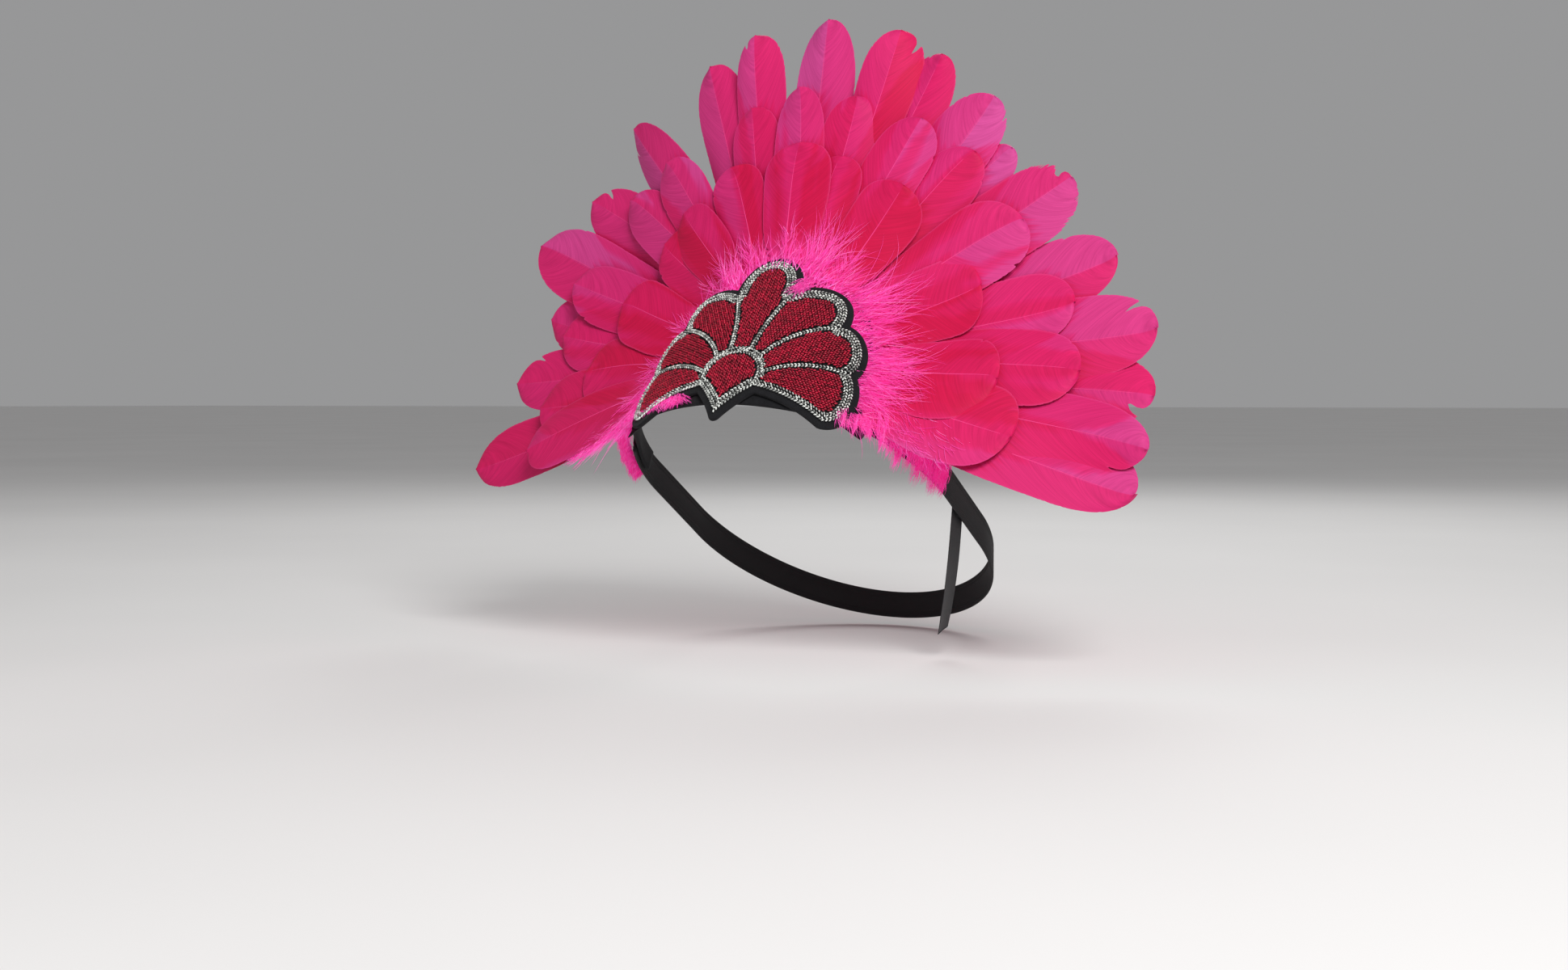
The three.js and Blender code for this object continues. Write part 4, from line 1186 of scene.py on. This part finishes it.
class HEADDRESS_OT_down(bpy.types.Operator):
    """Makes the down at the feathers' bases and the fringes over the band"""
    bl_idname = "headdress.down"
    bl_label = "Down"

    def execute(self, context):
        settings = context.scene.headdress_down
        self.radius = settings.hair_radius / MM
        self.rng = np.random.default_rng(23)
        self.material = down_finish(settings)
        feathers = all_feathers()
        for row in FEATHERS:
            paths = [downy_paths(feather, settings.per_feather, self.rng)
                     for feather in feathers if feather.row == row]
            self.tuft(f"down_{row}", np.concatenate(paths))
        self.tuft("down_behind", self.surround(settings.rim), stoutness=SURROUND_STOUTNESS)
        self.tuft("down_medallion", self.wisps())
        right = self.lowest(-1, LOWEST_HAIRS_RIGHT)
        left = self.lowest(1, LOWEST_HAIRS_LEFT)
        self.tuft("down_lowest", np.concatenate([right, left]))
        self.tuft("fringe_left", self.fringe(1, settings.fringe), ["down_fringe_left"])
        self.tuft("fringe_right", self.fringe(-1, settings.fringe), ["down_fringe_right"])
        self.tuft("down_arch", self.arch(ARCH_HAIRS), stoutness=ARCH_STOUTNESS)
        self.tuft("down_rim", self.rim(NOTCH_HAIRS))
        return {"FINISHED"}

    def tuft(self, name, paths, replaced=(), stoutness=1.0):
        shades = np.clip(self.rng.normal(0.5, 0.22, len(paths)), 0, 1)
        points, faces, shades = strands(paths, self.radius * stoutness, shades)
        make_piece(name, points, faces, self.material, replaced, values={"shade": shades})

    def fringe(self, handed, count):
        """Hairs in locks over the band: each starts on the lock's backing and draws in towards the lock's
        middle line as it falls, standing out by a sine and ending at an uneven length. On the wearer's right
        they are half as long. Locks before the first lie behind the medallion."""
        rng = self.rng
        t = FRINGE_HAIR
        lock = rng.integers(-3 if handed > 0 else -2, LOCK_COUNT, (count, 1))
        beside = rng.uniform(-0.5, 0.5, (count, 1))
        step = (FRINGE_END - FRINGE_START) / LOCK_COUNT
        drawn = beside * (1.1 - 0.45 * t) + 0.12 * np.sin(4 * t + 9 * beside)
        turn = handed * (FRINGE_START + step * (lock + 0.5 + drawn))
        longest, highest = (LOCK_LENGTH, 9.0) if handed > 0 else (0.5 * LOCK_LENGTH, 2.0)
        length = longest * np.where(lock % 2, 0.85, 1.05) * rng.uniform(0.55, 1.25, (count, 1))
        across = rng.uniform(-1.5, highest, (count, 1)) - length * t
        root = FRINGE_OUT + rng.uniform(0.2, 1.6, (count, 1))
        out = root + rng.uniform(1.5, 4.2, (count, 1)) * np.sin(2.2 * t)
        behind = lock < 0
        across = FRINGE_LIFT + across * np.where(behind, BEHIND_SHORTER, 1.0) - BEHIND_DROP * behind
        return on_band(turn, across, out - BEHIND_BACK * behind)

    def surround(self, count):
        """Short down behind the medallion's rim: hairs that start between the medallion and the fan, run
        outwards near the clock's direction, fall back to the fan and lift off it with a sine."""
        rng = self.rng
        clock = rng.uniform(-1, 1, (count, 1)) * LOW_END
        heading = clock + rng.normal(0, 0.4, (count, 1))
        start = rng.uniform(-17, -3, (count, 1))
        length = rng.uniform(4, 9, (count, 1))
        return self.radiating(clock, heading, start, length, 0.35)

    def wisps(self):
        """Longer down in tufts where it shows most: each tuft's hairs lie close to its clock and heading."""
        rng = self.rng
        clocks, turns, counts, lengths = (np.array(column) for column in zip(*TUFTS))
        tuft = np.repeat(np.arange(len(TUFTS)), counts)
        clock = np.radians(clocks[tuft]) + rng.normal(0, 0.09, len(tuft))
        heading = np.radians(clocks[tuft] + turns[tuft]) + rng.normal(0, 0.24, len(tuft))
        length = lengths[tuft] * (0.3 + 1.5 * rng.random(len(tuft)) ** 2.2)
        start = rng.uniform(-6, 3, len(tuft))
        return self.radiating(clock[:, None], heading[:, None], start[:, None], length[:, None], 1.0)

    def radiating(self, clock, heading, start, length, fall):
        """Hairs past the medallion's rim: straight along their heading but for a bow and a wave, standing off
        the fan at the root, falling back to it by a share, and lifting off it again with a sine."""
        rng = self.rng
        shape = clock.shape
        t = HAIR
        low = np.abs(clock)
        standoff = 6 + 7 * smooth(low, 0.2, 0.8) * (1 - smooth(low, 1.75, 2.0))
        reach = fan_rim(clock) + start
        wave = rng.uniform(0, 6.3, shape)
        bowed = heading + rng.normal(0, 0.25, shape) * t
        x = reach * np.sin(clock) + length * t * np.sin(bowed) + 0.4 * np.sin(5 * t + wave) * t
        z = reach * np.cos(clock) + length * t * np.cos(bowed) + 0.4 * np.sin(4 * t + 2 * wave) * t
        forward = standoff * rng.random(shape) * (1 - fall * smooth(t, 0.0, 0.9))
        lift = rng.uniform(0.1, 1.0, shape) * 2.6
        return on_fan(0.0, x, z, 0.4 - forward - lift * np.sin(2.0 * t))

    def lowest(self, handed, count):
        """Down along the lower edge of the lowest feather on one side: hairs that start on its vane and point
        outwards and down, shorter further out."""
        rng = self.rng
        t = HAIR
        along = rng.random((count, 1)) ** 1.3
        clock = handed * (LOW_END + rng.uniform(-0.06, 0.1, (count, 1)))
        reach = LOWEST_START + LOWEST_RUN * along
        heading = handed * (LOWEST_HEADING + rng.normal(0, 0.28, (count, 1)) - 0.25 * t)
        length = rng.uniform(5, 15 if handed > 0 else 21, (count, 1)) * (1 - 0.45 * along)
        x = reach * np.sin(clock) + length * t * np.sin(heading)
        z = reach * np.cos(clock) + length * t * np.cos(heading)
        depth = rng.uniform(-1.5, 2.0, (count, 1)) - rng.uniform(0, 2.0, (count, 1)) * t ** 2
        return on_fan(2.0, x, z, depth)

    def arch(self, count):
        """Down that shows below the medallion's arch on the wearer's right: short hairs that fall over the
        band from behind the medallion."""
        rng = self.rng
        t = HAIR
        turn = -rng.uniform(ARCH_START, ARCH_END, (count, 1)) + 0.08 * rng.normal(0, 1, (count, 1)) * t
        across = rng.uniform(-1.5, 2.2, (count, 1)) - rng.uniform(3, 8, (count, 1)) * t
        out = BAND_OUT + 0.5 + rng.uniform(0.8, 2.6, (count, 1)) * np.sin(2.4 * t)
        return on_band(turn, across, out)

    def rim(self, count):
        """A tuft that strays over the trim in the notch beside the top petal: its hairs cross the edge
        inwards."""
        rng = self.rng
        t = HAIR
        start = NOTCH_TUFT + rng.normal(0, 1.6, (count, 2))
        heading = rng.uniform(-2.5, -1.5, (count, 1))
        length = rng.uniform(4, 9, (count, 1))
        x = start[:, :1] + length * t * np.cos(heading) + 0.5 * np.sin(5 * t + 3 * heading)
        y = start[:, 1:] + length * t * np.sin(heading)
        out = -0.6 + rng.uniform(2.4, 3.4, (count, 1)) * smooth(t, 0.0, 0.45) - 0.4 * t
        return on_medallion(x, y, out)


class HEADDRESS_OT_stage(bpy.types.Operator):
    """Makes the floor, the lights and the camera"""
    bl_idname = "headdress.stage"
    bl_label = "Stage"

    def execute(self, context):
        settings = context.scene.headdress_stage
        scene = context.scene
        corners = np.array([[-1, -1], [1, -1], [1, 1], [-1, 1]]) * FLOOR_HALF
        mesh = bpy.data.meshes.new("floor")
        mesh.from_pydata([(x, y, settings.floor_height) for x, y in corners], [], [(0, 1, 2, 3)])
        finish = Finish("pale_floor", Roughness=0.8)
        cloud = finish.noise(finish.stretched("Object", (3, 3, 3)))
        finish.feed("Base Color", finish.ramp(cloud, shade_stops(settings.floor, (0.3, 1.0), (0.7, 1.04))))
        mesh.materials.append(finish.material)
        floor = bpy.data.objects.new("floor", mesh)
        scene.collection.objects.link(floor)

        world = bpy.data.worlds.new("studio")
        world.use_nodes = True
        background = world.node_tree.nodes["Background"]
        background.inputs["Color"].default_value = AMBIENT_COLOUR
        background.inputs["Strength"].default_value = settings.ambient
        scene.world = world
        scene.view_settings.view_transform = "Standard"
        for name, (place, size) in LAMPS.items():
            self.lamp(name, place, size, getattr(settings, name))

        camera = bpy.data.objects.new("camera", bpy.data.cameras.new("camera"))
        camera.data.lens = CAMERA_LENS
        camera.data.sensor_width = 36.0
        camera.data.clip_start = 0.05
        camera.location = Vector(CAMERA_AT) * MM
        line = (Vector(CAMERA_TARGET) - Vector(CAMERA_AT)) * MM
        camera.rotation_mode = "QUATERNION"
        camera.rotation_quaternion = line.to_track_quat("-Z", "Y")
        scene.collection.objects.link(camera)
        scene.camera = camera
        return {"FINISHED"}

    def lamp(self, name, place, size, power):
        light = bpy.data.lights.new(name, "AREA")
        light.shape = "DISK"
        light.size = size
        light.energy = power
        lamp = bpy.data.objects.new(name, light)
        lamp.location = place
        lamp.rotation_mode = "QUATERNION"
        lamp.rotation_quaternion = (Vector(LAMP_TARGET) - Vector(place)).to_track_quat("-Z", "Y")
        bpy.context.scene.collection.objects.link(lamp)


class HEADDRESS_PT_panel(bpy.types.Panel):
    """Lists the headdress's pieces and their settings"""
    bl_idname = "HEADDRESS_PT_panel"
    bl_label = "Headdress"
    bl_space_type = "VIEW_3D"
    bl_region_type = "UI"
    bl_category = "Headdress"

    def draw(self, context):
        for operator, group in STEPS:
            box = self.layout.box()
            box.operator(operator)
            settings = getattr(context.scene, group)
            for name in settings.__annotations__:
                box.prop(settings, name)


STEPS = (
    ("headdress.stage", "headdress_stage"),
    ("headdress.felt", "headdress_felt"),
    ("headdress.strap", "headdress_felt"),
    ("headdress.beads", "headdress_beads"),
    ("headdress.feathers", "headdress_feathers"),
    ("headdress.down", "headdress_down"),
)
GROUPS = {
    "headdress_stage": StageSettings,
    "headdress_felt": FeltSettings,
    "headdress_beads": BeadSettings,
    "headdress_feathers": FeatherSettings,
    "headdress_down": DownSettings,
}
CLASSES = (HEADDRESS_OT_stage, HEADDRESS_OT_felt, HEADDRESS_OT_strap, HEADDRESS_OT_beads,
           HEADDRESS_OT_feathers, HEADDRESS_OT_down, HEADDRESS_PT_panel)


def register():
    for group in (*GROUPS.values(), *CLASSES):
        bpy.utils.register_class(group)
    for name, group in GROUPS.items():
        setattr(bpy.types.Scene, name, PointerProperty(type=group))


def unregister():
    for name in GROUPS:
        delattr(bpy.types.Scene, name)
    for group in reversed((*GROUPS.values(), *CLASSES)):
        bpy.utils.unregister_class(group)


def main():
    register()
    for operator, _ in STEPS:
        name = operator.split(".")[1]
        getattr(bpy.ops.headdress, name)()


if __name__ == "__main__":
    main()
